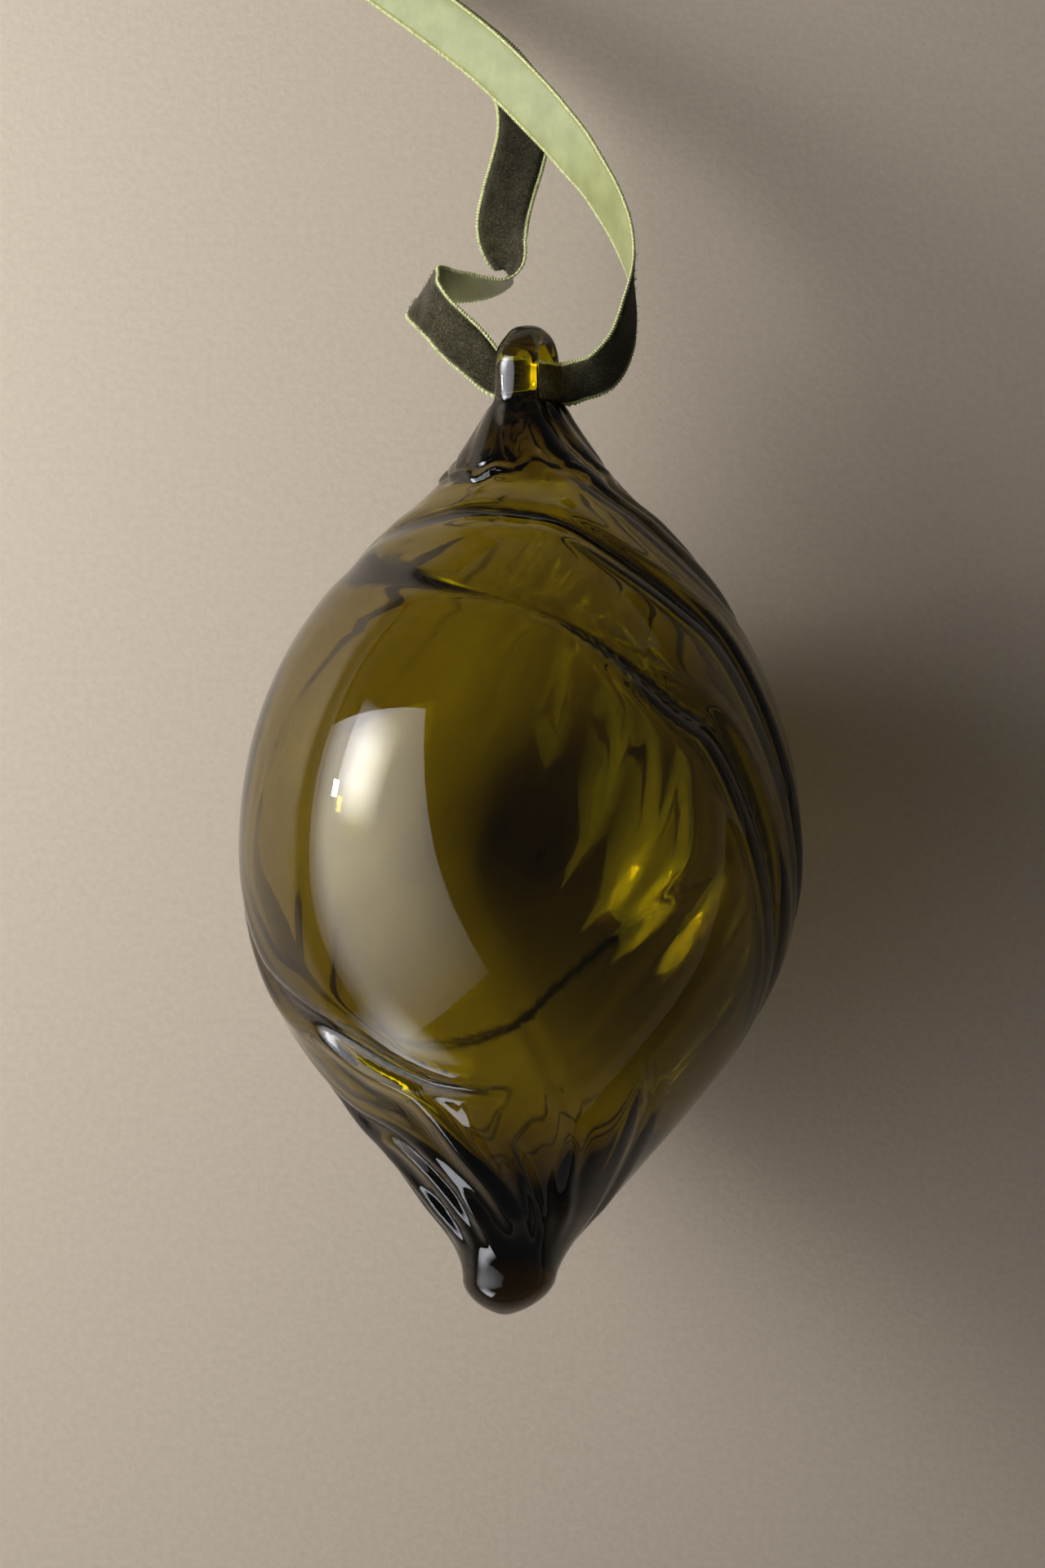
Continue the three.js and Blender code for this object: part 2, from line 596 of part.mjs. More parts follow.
function material(color, roughness, transparent) {
  return new THREE.MeshStandardMaterial({
    color,
    roughness,
    metalness: 0,
    transparent,
    opacity: transparent ? 0.6 : 1,
  });
}

const ornament = new THREE.Group();
const placed = new THREE.Group();
ornament.add(placed);

function addPiece(name, geometry, color, roughness, transparent = false) {
  const mesh = new THREE.Mesh(geometry, material(color, roughness, transparent));
  mesh.geometry.computeVertexNormals();
  mesh.name = name;
  placed.add(mesh);
  return mesh;
}

const bulb = addPiece('glass_bulb', bulbGeometry(), 0x6b5d12, 0.05, true);
const hook = addPiece('glass_hook', hookGeometry(), 0x5a4d10, 0.05, true);

// The glass's own box: the middle of its foot is the origin
const glassBox = new THREE.Box3().setFromObject(bulb).union(new THREE.Box3().setFromObject(hook));
const foot = glassBox.getCenter(new THREE.Vector3()).setZ(glassBox.min.z);
const floor = glassBox.min.z;

addPiece('ribbon_bight', bightGeometry(), 0x2b2614, 0.9);
const [knotX, knotY] = fromEye(...knotPlace, 0);
const knotCentre = new THREE.Vector3(knotX, knotY, floor + floorClearance + knotRadius * knotFlattening);
const rightEnd = knotEnd(knotCentre, -1, 1);
const leftEnd = knotEnd(knotCentre, -1, -1);
const leftStart = boreDirection.clone().negate();
const satin = 0xc9cf96;
const velvet = 0x2b2614;
addPiece('ribbon_strand_right', strandGeometry(rightRoute, 42, boreDirection, rightEnd, [0, 0, -1]), satin, 0.5);
addPiece('ribbon_strand_left', strandGeometry(leftRoute, 60, leftStart, leftEnd, [0, 0, 1]), velvet, 0.9);
addPiece('ribbon_knot', knotGeometry(knotCentre), velvet, 0.9);
addPiece('ribbon_tail_long', tailGeometry(knotCentre, -1, floor, longTail), satin, 0.5);
addPiece('ribbon_tail_short', tailGeometry(knotCentre, 1, floor, shortTail), velvet, 0.9);

placed.position.copy(foot).negate();

export default ornament;
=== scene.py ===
# Hand-blown glass teardrop ornament on a velvet ribbon: camera, ribbon, glass and studio
import math

import bmesh
import bpy
import numpy as np
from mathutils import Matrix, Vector


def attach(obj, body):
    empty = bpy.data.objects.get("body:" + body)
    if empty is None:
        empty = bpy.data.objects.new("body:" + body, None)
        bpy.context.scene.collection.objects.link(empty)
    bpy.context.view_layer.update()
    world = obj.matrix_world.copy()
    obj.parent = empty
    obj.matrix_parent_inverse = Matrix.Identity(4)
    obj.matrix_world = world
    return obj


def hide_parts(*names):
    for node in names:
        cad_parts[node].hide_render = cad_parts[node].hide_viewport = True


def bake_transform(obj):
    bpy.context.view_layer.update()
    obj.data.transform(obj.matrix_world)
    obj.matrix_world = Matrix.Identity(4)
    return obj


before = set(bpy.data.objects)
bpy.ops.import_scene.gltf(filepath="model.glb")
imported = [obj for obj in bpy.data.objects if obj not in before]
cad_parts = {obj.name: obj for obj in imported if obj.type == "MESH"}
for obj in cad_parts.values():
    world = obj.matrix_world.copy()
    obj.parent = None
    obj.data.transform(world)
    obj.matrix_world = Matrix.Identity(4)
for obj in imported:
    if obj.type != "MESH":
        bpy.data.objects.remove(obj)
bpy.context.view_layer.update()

MM = 0.001
rng = np.random.default_rng(11)

# Where the ornament's axis stands in the row frame: the end of the nub, in mm
AXIS_FOOT = np.array([-0.042, -72.168, 40.951])
EYE_CENTRE = np.array([1.2, 136.35, 0.0])
EYE_TURN = math.radians(22)
BORE = np.array([math.cos(EYE_TURN), 0.0, math.sin(EYE_TURN)])
BACK = np.array([math.sin(EYE_TURN), 0.0, -math.cos(EYE_TURN)])


# Points of the axis frame, in mm, as metres in the row frame
def row(points):
    return (np.asarray(points, float) + AXIS_FOOT) * MM


# Camera: straight above the ornament, as the photograph was taken
PIXELS_PER_MM = 8.4
PICTURE_HEIGHT_PX = 1920
PICTURE_CENTRE = (0.36, 77.4)
SENSOR_HEIGHT = 24.0
VERTICAL_FIELD = math.radians(22)
half_field = math.tan(VERTICAL_FIELD / 2)
camera_rise = PICTURE_HEIGHT_PX / PIXELS_PER_MM / 2 / half_field
camera_data = bpy.data.cameras.new("camera")
camera = bpy.data.objects.new("camera", camera_data)
bpy.context.scene.collection.objects.link(camera)
camera_data.sensor_fit = "VERTICAL"
camera_data.sensor_height = SENSOR_HEIGHT
camera_data.lens = SENSOR_HEIGHT / 2 / half_field
camera_data.clip_start = 0.01
camera.location = row([*PICTURE_CENTRE, camera_rise])
bpy.context.scene.camera = camera


# A mesh object from points in metres and faces
def new_mesh(name, points, faces, materials=(), smooth=True):
    mesh = bpy.data.meshes.new(name)
    mesh.from_pydata([tuple(p) for p in points], [], [tuple(int(i) for i in f) for f in faces])
    mesh.validate()
    mesh.update()
    obj = bpy.data.objects.new(name, mesh)
    bpy.context.scene.collection.objects.link(obj)
    for material in materials:
        mesh.materials.append(material)
    if smooth:
        mesh.polygons.foreach_set("use_smooth", [True] * len(mesh.polygons))
    return obj


# Faces of a grid of closed rings, wound so that they face out where across x along does
def grid_faces(rings, sides):
    faces = []
    for ring in range(rings - 1):
        for side in range(sides):
            a = ring * sides + side
            b = ring * sides + (side + 1) % sides
            faces.append((a, b, b + sides, a + sides))
    return faces


# Point of a centripetal spline through points, at a share of its stretches
def spline_at(points, share):
    points = np.asarray(points, float)
    last = len(points) - 1
    along = min(max(share, 0.0), 1.0) * last
    index = min(int(along), last - 1)
    w = along - index
    b, c = points[index], points[index + 1]
    a = points[index - 1] if index > 0 else 2 * b - c
    d = points[index + 2] if index + 2 <= last else 2 * c - b
    steps = [max(np.linalg.norm(q - p) ** 0.5, 1e-4) for p, q in ((a, b), (b, c), (c, d))]
    t1 = ((b - a) / steps[0] - (c - a) / (steps[0] + steps[1]) + (c - b) / steps[1]) * steps[1]
    t2 = ((c - b) / steps[1] - (d - b) / (steps[1] + steps[2]) + (d - c) / steps[2]) * steps[1]
    return (
        (2 * w**3 - 3 * w**2 + 1) * b
        + (w**3 - 2 * w**2 + w) * t1
        + (3 * w**2 - 2 * w**3) * c
        + (w**3 - w**2) * t2
    )


# Points of a spline at even steps of its own length, with values that go with it
def even_spline(points, extras, step):
    shares = np.linspace(0, 1, 1200)
    line = np.array([spline_at(points, s) for s in shares])
    side = np.array([spline_at(extras, s) for s in shares])
    reach = np.concatenate([[0], np.cumsum(np.linalg.norm(np.diff(line, axis=0), axis=1))])
    count = max(2, int(round(reach[-1] / step)) + 1)
    at = np.linspace(0, reach[-1], count)
    where = np.stack([np.interp(at, reach, line[:, k]) for k in range(line.shape[1])], 1)
    with_it = np.stack([np.interp(at, reach, side[:, k]) for k in range(side.shape[1])], 1)
    return where, with_it, at


def smoothstep(value, low, high):
    t = np.clip((np.asarray(value, float) - low) / (high - low), 0, 1)
    return t * t * (3 - 2 * t)


# Ribbon: routes of its two strands, from the middle of the eye to the knot, in mm from the eye.
# A route's stops are places and the directions that the velvet faces there.
RIBBON_WIDTH = 8.0
WIDTH_IN_EYE = 6.2
EYE_TO_FULL_WIDTH = (5, 13)
MOUTH_REACH = 5.2
BIGHT_TILT = math.radians(12)
BIGHT_SAG = 0.8
FLOOR_LEVEL = -AXIS_FOOT[2]
FLOOR_GAP = 0.15
KNOT_PLACE = np.array([-37.8, 77.85])
KNOT_RADIUS = 5.0
KNOT_LENGTH = 11.0
KNOT_FLATTENING = 0.84
KNOT_HEADING = np.array([-0.76, 0.65, 0.0]) / math.hypot(0.76, 0.65)
KNOT_TUCK = 0.8
LAYER_RISE = 0.75

bight_face = np.array([0, -math.sin(BIGHT_TILT), 0]) - BACK * math.cos(BIGHT_TILT)


def bight_place(reach):
    return BORE * reach + BACK + np.array([0, -BIGHT_SAG * reach / MOUTH_REACH, 0])


knot_rise = FLOOR_LEVEL + FLOOR_GAP + KNOT_RADIUS * KNOT_FLATTENING
knot_centre = np.array([*(EYE_CENTRE[:2] + KNOT_PLACE), knot_rise])


def knot_end(side, layer):
    place = knot_centre + KNOT_HEADING * side * (KNOT_LENGTH / 2 - KNOT_TUCK)
    return place + np.array([0, 0, layer * LAYER_RISE]) - EYE_CENTRE


right_route = [
    (bight_place(0), bight_face),
    (bight_place(2.6), bight_face),
    (bight_place(MOUTH_REACH), bight_face),
    ([6.9, -0.35, 1.6], [-0.1, -0.5, 0.85]),
    ([10.4, 0.85, 2.3], [0.35, -0.6, 0.71]),
    ([13.2, 4.55, 2.0], [0.77, -0.39, 0.52]),
    ([14.6, 9.95, 1.0], [0.93, -0.19, 0.31]),
    ([15.0, 15.45, -0.5], [1.0, 0.05, -0.03]),
    ([13.7, 21.75, -2.5], [0.86, 0.3, -0.39]),
    ([10.6, 28.55, -5.5], [0.69, 0.39, -0.59]),
    ([6.2, 35.35, -9.0], [0.5, 0.39, -0.77]),
    ([0.4, 42.65, -13.0], [0.38, 0.32, -0.87]),
    ([-6.1, 49.85, -17.5], [0.3, 0.29, -0.91]),
    ([-12.6, 55.75, -21.5], [0.25, 0.25, -0.93]),
    ([-19.5, 61.55, -25.5], [0.2, 0.2, -0.95]),
    ([-26.7, 67.55, -29.8], [0.15, 0.15, -0.97]),
    (knot_end(-1, 1), [0, 0, -1]),
]
left_route = [
    (bight_place(0), bight_face),
    (bight_place(-2.6), bight_face),
    (bight_place(-MOUTH_REACH), bight_face),
    ([-8.6, 4.75, -2.9], [-0.36, -0.36, 0.84]),
    ([-12.2, 8.35, -3.9], [-0.42, -0.42, 0.79]),
    ([-14.5, 11.25, -5.9], [-0.74, 0.03, 0.65]),
    ([-15.5, 13.35, -9.2], [-0.76, 0.62, 0.07]),
    ([-14.7, 14.75, -12.5], [-0.7, 0.6, -0.35]),
    ([-12.4, 15.25, -14.2], [-0.25, 0.8, -0.5]),
    ([-8.8, 15.15, -14.2], [0, 0.9, -0.42]),
    ([-5.5, 15.25, -13.6], [-0.05, 0.97, -0.22]),
    ([-2.8, 16.05, -13.0], [-0.55, 0.8, 0]),
    ([-2.1, 18.25, -12.8], [-0.9, 0.1, 0.4]),
    ([-3.3, 20.95, -13.0], [-0.55, 0, 0.8]),
    ([-3.8, 24.45, -14.0], [-0.25, 0.2, 0.95]),
    ([-3.0, 29.05, -16.0], [-0.1, 0.35, 0.92]),
    ([-1.6, 34.35, -18.5], [0, 0.4, 0.9]),
    ([-0.6, 39.65, -21.0], [0, 0.4, 0.9]),
    ([-1.1, 45.05, -23.5], [0, 0.4, 0.9]),
    ([-4.0, 49.85, -26.0], [0, 0.3, 0.93]),
    ([-8.9, 54.55, -28.2], [0, 0.3, 0.95]),
    ([-14.6, 59.25, -30.4], [0, 0.25, 0.95]),
    ([-20.9, 64.25, -32.6], [0, 0.22, 0.95]),
    ([-27.4, 69.55, -34.8], [0, 0.2, 0.95]),
    (knot_end(-1, -1), [0, 0, 1]),
]


# Places of a colour mix's sockets
MIX_ONE, MIX_OTHER, MIX_RESULT = 6, 7, 2


def new_material(name):
    material = bpy.data.materials.new(name)
    material.use_nodes = True
    tree = material.node_tree
    return material, tree, tree.nodes["Principled BSDF"]


def set_inputs(node, **inputs):
    for name, value in inputs.items():
        node.inputs[name.replace("_", " ")].default_value = value


def add_node(tree, kind, **inputs):
    node = tree.nodes.new(kind)
    set_inputs(node, **inputs)
    return node


def add_ramp(tree, value, stops):
    ramp = tree.nodes.new("ShaderNodeValToRGB")
    elements = ramp.color_ramp.elements
    while len(elements) < len(stops):
        elements.new(0.5)
    for element, (position, color) in zip(elements, stops):
        element.position = position
        element.color = (*color, 1)
    tree.links.new(value, ramp.inputs["Fac"])
    return ramp.outputs["Color"]


# Noise in the object's own metres
def add_noise(tree, scale, detail, roughness):
    place = tree.nodes.new("ShaderNodeTexCoord")
    noise = add_node(tree, "ShaderNodeTexNoise", Scale=scale, Detail=detail, Roughness=roughness)
    tree.links.new(place.outputs["Object"], noise.inputs["Vector"])
    return noise.outputs["Fac"]


def multiplied(tree, one, other):
    mix = tree.nodes.new("ShaderNodeMix")
    mix.data_type = "RGBA"
    mix.blend_type = "MULTIPLY"
    mix.inputs["Factor"].default_value = 1
    tree.links.new(one, mix.inputs[MIX_ONE])
    tree.links.new(other, mix.inputs[MIX_OTHER])
    return mix.outputs[MIX_RESULT]


def add_bump(tree, shader, height, strength, distance):
    bump = add_node(tree, "ShaderNodeBump", Strength=strength, Distance=distance)
    tree.links.new(height, bump.inputs["Height"])
    tree.links.new(bump.outputs["Normal"], shader.inputs["Normal"])


# Short dark pile with a pale sheen where it is seen along its fibres
def velvet_material():
    material, tree, shader = new_material("velvet")
    grain = add_noise(tree, 3200, 3, 0.7)
    patches = add_noise(tree, 420, 2, 0.5)
    dark, middle, pale = (0.014, 0.012, 0.005), (0.065, 0.056, 0.030), (0.19, 0.165, 0.105)
    fine = add_ramp(tree, grain, [(0.3, dark), (0.55, middle), (0.78, pale)])
    broad = add_ramp(tree, patches, [(0.3, (0.55, 0.55, 0.5)), (0.7, (1.0, 1.0, 1.0))])
    tree.links.new(multiplied(tree, fine, broad), shader.inputs["Base Color"])
    add_bump(tree, shader, grain, 0.9, 0.00025)
    set_inputs(shader, Roughness=1.0, Specular_IOR_Level=0.1, Sheen_Weight=0.55, Sheen_Roughness=0.35)
    set_inputs(shader, Sheen_Tint=(0.80, 0.76, 0.62, 1))
    return material


# Satin back: pale sage with fine cross ribs, from the ribbon's own map (across, along)
def satin_material():
    material, tree, shader = new_material("satin")
    ribbon_map = tree.nodes.new("ShaderNodeUVMap")
    ribbon_map.uv_map = "ribbon"
    wave = add_node(tree, "ShaderNodeTexWave", Scale=0.95, Distortion=0.6, Detail=1)
    wave.wave_type = "BANDS"
    wave.bands_direction = "Y"
    tree.links.new(ribbon_map.outputs["UV"], wave.inputs["Vector"])
    ribs = wave.outputs["Fac"]
    drift = add_noise(tree, 260, 3, 0.6)
    tone = add_ramp(tree, drift, [(0.3, (0.245, 0.265, 0.095)), (0.7, (0.33, 0.355, 0.14))])
    rib_tone = add_ramp(tree, ribs, [(0.1, (0.80, 0.80, 0.76)), (0.6, (1.0, 1.0, 1.0))])
    tree.links.new(multiplied(tree, tone, rib_tone), shader.inputs["Base Color"])
    add_bump(tree, shader, ribs, 0.5, 0.00006)
    set_inputs(shader, Roughness=0.42, Specular_IOR_Level=0.5, Sheen_Weight=0.25, Sheen_Roughness=0.4)
    return material


# Pale selvage threads
def thread_material():
    material, tree, shader = new_material("selvage")
    grain = add_noise(tree, 2400, 2, 0.6)
    tone = add_ramp(tree, grain, [(0.3, (0.36, 0.38, 0.11)), (0.7, (0.72, 0.74, 0.36))])
    tree.links.new(tone, shader.inputs["Base Color"])
    set_inputs(shader, Roughness=0.75, Sheen_Weight=0.3)
    return material


velvet = velvet_material()
satin = satin_material()
threads = thread_material()
SATIN, VELVET, THREAD = 0, 1, 2

SATIN_RISE = 0.16
PILE = 0.55
CUP = 0.03
SWAY = 0.12
EDGE_SWAY = 0.6
STRIP_COLUMNS = 15
STRIP_INSET = 0.25
STEP_ALONG = 0.22
PATH_STEP = 1.5
PICOT_PITCH = 0.44
PICOT_REACH = 0.2
PICOT_SIDES = 6
FIBRES_PER_MM = 26
FIBRES_AT_EDGE = 0.62
FIBRE_RADIUS = 0.045


# Line, across and satin-facing directions of a ribbon along a route
def ribbon_frame(route, step):
    places = [np.asarray(p, float) for p, _ in route]
    faces = [np.asarray(f, float) for _, f in route]
    line, face, reach = even_spline(places, faces, step)
    heading = np.gradient(line, axis=0)
    heading /= np.linalg.norm(heading, axis=1)[:, None]
    across = np.cross(heading, face)
    across /= np.linalg.norm(across, axis=1)[:, None]
    out = np.cross(heading, across)
    return line + EYE_CENTRE, across, out, reach


# Faces and materials of a strip whose first side's rows of points come before its other side's
def strip_faces(rows, columns, one, other):
    faces = []
    slots = []
    block = rows * columns
    for i in range(rows - 1):
        for k in range(columns - 1):
            a = i * columns + k
            b = a + block
            faces.append((a, a + 1, a + columns + 1, a + columns))
            faces.append((b, b + columns, b + columns + 1, b + 1))
            slots.extend([one, other])
        for k, turned in ((0, 1), (columns - 1, -1)):
            a = i * columns + k
            faces.append((a, a + columns, a + block + columns, a + block)[::turned])
            slots.append(THREAD)
    for i, turned in ((0, 1), (rows - 1, -1)):
        for k in range(columns - 1):
            a = i * columns + k
            faces.append((a, a + block, a + block + 1, a + 1)[::turned])
            slots.append(VELVET)
    return faces, slots


# A picot edge: a beaded thread along a line
def picot_thread(middle, sideways, upward, beat):
    radius = 0.17 + 0.12 * beat
    angles = 2 * math.pi * np.arange(PICOT_SIDES) / PICOT_SIDES
    points = []
    for i in range(len(middle)):
        for angle in angles:
            p = middle[i] + sideways[i] * math.cos(angle) * radius[i] * 1.25
            points.append(p + upward[i] * math.sin(angle) * radius[i])
    faces = grid_faces(len(middle), PICOT_SIDES)
    last = (len(middle) - 1) * PICOT_SIDES
    faces.append(tuple(reversed(range(PICOT_SIDES))))
    faces.append(tuple(last + s for s in range(PICOT_SIDES)))
    return points, faces


# A length of ribbon: satin back, velvet pile in front, and a row of picot loops on each edge
def ribbon_mesh(name, route, width_at):
    line, across, out, reach = ribbon_frame(route, STEP_ALONG)
    count = len(line)
    total = reach[-1]
    half = np.array([width_at(r) for r in reach]) / 2
    spans = np.linspace(-1, 1, STRIP_COLUMNS)
    rounding = np.sqrt(np.clip(1 - np.abs(spans) ** 10, 0, 1))
    sway = np.interp(reach, np.linspace(0, total, 24), rng.normal(0, SWAY, 24))
    points = []
    maps = []
    for rise in (SATIN_RISE, -PILE):
        for i in range(count):
            bend = CUP * (1 - spans**2) * half[i] + sway[i] * spans * EDGE_SWAY + rise * rounding
            for span, lift in zip(spans, bend):
                points.append(line[i] + across[i] * span * (half[i] - STRIP_INSET) + out[i] * lift)
                maps.append((span * half[i], reach[i]))
    faces, slots = strip_faces(count, STRIP_COLUMNS, SATIN, VELVET)

    # Picot threads on both edges
    fine = np.linspace(0, total, int(total / (PICOT_PITCH / 5)))
    where, sideways, upward = (
        np.stack([np.interp(fine, reach, values[:, k]) for k in range(3)], 1)
        for values in (line, across, out)
    )
    edge_half = np.interp(fine, reach, half)
    edge_sway = np.interp(fine, reach, sway)
    for edge in (-1, 1):
        beat = 0.5 + 0.5 * np.cos(2 * math.pi * (fine + 0.2 * edge) / PICOT_PITCH)
        middle = where + sideways * (edge * (edge_half - 0.22 + PICOT_REACH * 0.5 * beat))[:, None]
        middle = middle + upward * (edge_sway * edge * EDGE_SWAY - 0.12)[:, None]
        loops, loop_faces = picot_thread(middle, sideways, upward, beat)
        faces.extend(tuple(len(points) + i for i in face) for face in loop_faces)
        slots.extend([THREAD] * len(loop_faces))
        points.extend(loops)
        for h, f in zip(edge_half, fine):
            maps.extend([(edge * h, f)] * PICOT_SIDES)

    # Pile fibres that stand past the edges and above the velvet
    for _ in range(int(total * FIBRES_PER_MM)):
        r = rng.uniform(0.3, total - 0.3)
        i = min(count - 1, int(r / total * (count - 1)))
        at_edge = rng.random() < FIBRES_AT_EDGE
        span = rng.choice([-1, 1]) * rng.uniform(0.9, 1.0) if at_edge else rng.uniform(-0.95, 0.95)
        root = line[i] + across[i] * span * (half[i] - 0.15) - out[i] * PILE * (0.35 if at_edge else 0.9)
        aim = -out[i] * rng.uniform(0.5, 1)
        aim = aim + across[i] * (span * rng.uniform(0.4, 1.4) if at_edge else rng.normal(0, 0.4))
        aim = aim + rng.normal(0, 0.35, 3)
        aim /= np.linalg.norm(aim)
        length = rng.uniform(0.3, 0.62)
        one = np.cross(aim, [0.3, 0.5, 0.81])
        one /= np.linalg.norm(one)
        two = np.cross(aim, one)
        a, b, c, tip = range(len(points), len(points) + 4)
        for angle in (0, 2.094, 4.189):
            points.append(root + FIBRE_RADIUS * (one * math.cos(angle) + two * math.sin(angle)))
        points.append(root + aim * length)
        maps.extend([(0, r)] * 4)
        faces.extend([(a, b, tip), (b, c, tip), (c, a, tip), (c, b, a)])
        slots.extend([THREAD if at_edge else VELVET] * 4)
    obj = mapped_mesh(name, points, faces, slots, maps)
    path = ribbon_frame(route, PATH_STEP)[0]
    return obj, [tuple(p) for p in row(path)], float(total) * MM


# A mesh of ribbon with a material for each face and a place on the ribbon's map for each point
def mapped_mesh(name, points, faces, slots, maps):
    obj = new_mesh(name, row(points), faces, [satin, velvet, threads])
    obj.data.polygons.foreach_set("material_index", slots)
    layer = obj.data.uv_layers.new(name="ribbon")
    loops = np.empty(len(obj.data.loops), np.int32)
    obj.data.loops.foreach_get("vertex_index", loops)
    layer.data.foreach_set("uv", np.asarray(maps, np.float32)[loops].ravel())
    return obj


def loop_width(reach):
    return WIDTH_IN_EYE + (RIBBON_WIDTH - WIDTH_IN_EYE) * float(smoothstep(reach, *EYE_TO_FULL_WIDTH))


ribbon_right, right_path, right_length = ribbon_mesh("ribbon_strand_satin", right_route, loop_width)
ribbon_left, left_path, left_length = ribbon_mesh("ribbon_strand_velvet", left_route, loop_width)
for strand in (ribbon_right, ribbon_left):
    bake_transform(strand)
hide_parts("ribbon_bight", "ribbon_strand_right")
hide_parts("ribbon_strand_left")


# Tails: from the knot down to the floor, by places measured from the knot
TAIL_HALF = 0.6
tail_lie = FLOOR_LEVEL + FLOOR_GAP + TAIL_HALF
long_tail = [(-6.3, 8.2, 2.2), (-9.0, 13.8, 0.5), (-11.0, 19.8, 0.0), (-12.2, 26.2, 0.0)]
short_tail = [(-10.0, 5.4, 4.6), (-15.8, 7.2, 2.7), (-22.0, 8.0, 1.0), (-28.6, 7.8, 0.1)]


def tail_route(layer, places, face):
    stops = [(knot_end(1, layer), face)]
    for x, y, rise in places:
        place = np.array([knot_centre[0] + x, knot_centre[1] + y, tail_lie + rise]) - EYE_CENTRE
        stops.append((place, face))
    return stops


def full_width(reach):
    return RIBBON_WIDTH


tail_long = ribbon_mesh("tail_long_strip", tail_route(-1, long_tail, [0, 0, -1]), full_width)[0]
tail_short = ribbon_mesh("tail_short_strip", tail_route(1, short_tail, [0, 0, 1]), full_width)[0]
for tail in (tail_long, tail_short):
    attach(tail, "ribbon")
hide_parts("ribbon_tail_long")
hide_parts("ribbon_tail_short")


# Knot: the ribbon gathered into folds and wrapped round itself
KNOT_RINGS, KNOT_SIDES = 44, 56
CORE_RADIUS, CORE_END_RADIUS, CORE_SWELL = 3.3, 2.9, 0.75
WRAP_STEPS, WRAP_COLUMNS = 150, 13
WRAP_TURNS = 1.55
WRAP_START = 0.6
WRAP_TRAVEL = 3.2
WRAP_HALF_WIDTH = 3.1
WRAP_RADIUS = 4.05
WRAP_HALF_THICKNESS = 0.25
TUCK_RADIUS = 3.2


# A point of the knot, at a place along it, a distance from its middle line and an angle round that
def knot_point(along, radius, angle):
    upward = np.array([0, 0, KNOT_FLATTENING])
    sideways = np.cross(KNOT_HEADING, [0, 0, 1.0])
    outward = sideways * math.cos(angle) + upward * math.sin(angle)
    return knot_centre + KNOT_HEADING * along + outward * radius


# The gathered ribbon inside the knot
def knot_core():
    points = []
    maps = []
    for i in range(KNOT_RINGS):
        t = -1 + 2 * i / (KNOT_RINGS - 1)
        body = CORE_RADIUS + CORE_SWELL * math.cos(t * math.pi) ** 2 if abs(t) < 0.99 else CORE_END_RADIUS
        for s in range(KNOT_SIDES):
            angle = 2 * math.pi * s / KNOT_SIDES
            pleat = 0.28 * math.cos(7 * angle + 2.4 * t) + 0.16 * math.cos(11 * angle - 1.7 * t)
            points.append(knot_point(t * KNOT_LENGTH / 2, body + pleat, angle))
            maps.append((s / KNOT_SIDES * RIBBON_WIDTH, t * KNOT_LENGTH / 2))
    faces = grid_faces(KNOT_RINGS, KNOT_SIDES)
    last = (KNOT_RINGS - 1) * KNOT_SIDES
    faces.append(tuple(reversed(range(KNOT_SIDES))))
    faces.append(tuple(last + s for s in range(KNOT_SIDES)))
    return points, faces, [VELVET] * len(faces), maps


# The wrap: a band of ribbon wound one and a half turns on a slant, its ends tucked in
def knot_wrap():
    points = []
    maps = []
    for side in (1, -1):
        for i in range(WRAP_STEPS + 1):
            share = i / WRAP_STEPS
            angle = WRAP_START + share * WRAP_TURNS * 2 * math.pi
            shift = (share - 0.5) * WRAP_TRAVEL + 0.9 * math.sin(angle)
            tuck = 1 - 0.55 * float(smoothstep(share, 0.93, 1) + smoothstep(1 - share, 0.93, 1))
            for span in np.linspace(1, -1, WRAP_COLUMNS):
                swell = WRAP_RADIUS + 0.35 * share + 0.22 * (1 - span * span)
                swell += side * WRAP_HALF_THICKNESS * (1 - abs(span) ** 8)
                swell += 0.10 * math.sin(9 * angle + 3 * span) * (1 - abs(span))
                radius = TUCK_RADIUS + (swell - TUCK_RADIUS) * tuck
                points.append(knot_point(span * WRAP_HALF_WIDTH + shift, radius, angle))
                maps.append((span * WRAP_HALF_WIDTH, share * 40))
    faces, slots = strip_faces(WRAP_STEPS + 1, WRAP_COLUMNS, VELVET, SATIN)
    return points, faces, slots, maps


def knot_mesh():
    points, faces, slots, maps = knot_core()
    wrap_points, wrap_faces, wrap_slots, wrap_maps = knot_wrap()
    faces.extend(tuple(len(points) + i for i in face) for face in wrap_faces)
    return mapped_mesh("knot_folds", points + wrap_points, faces, slots + wrap_slots, maps + wrap_maps)


knot = knot_mesh()
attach(knot, "ribbon")
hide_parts("ribbon_knot")


# Glass outline: radii and heights along the axis, in mm, as the CAD part has them
NUB_RADIUS = 6.9
NUB_HEIGHT = 6.0
NUB_TAPER = 1.4
NUB_CREASE = 0.15
SWEEP_TOP = (12.8, 15.5)
WIDE_RADIUS = 41.0
WIDE_HEIGHT = 67.9
SHOULDER = (16.4, 117.9)
RIM = (13.4, 120.6)
CONE_TOP = 132.2
CONE_HALF_WIDTH = 5.6
CONE_HALF_DEPTH = 7.0
HOOK_TOP = 144.3
LIMB_HALF_WIDTH = 3.0
LIMB_HALF_THICKNESS = 1.9
LIMB_FOOT = 126.0
LIMB_INSET = 1.25
LOOP_RADIUS = 4.7
PAD_HEIGHT = 128.9
PAD_RADIUS = 3.6
PAD_HALF_THICKNESS = 2.4
PAD_INSET = 0.3
DOME_HEIGHT = 1.6


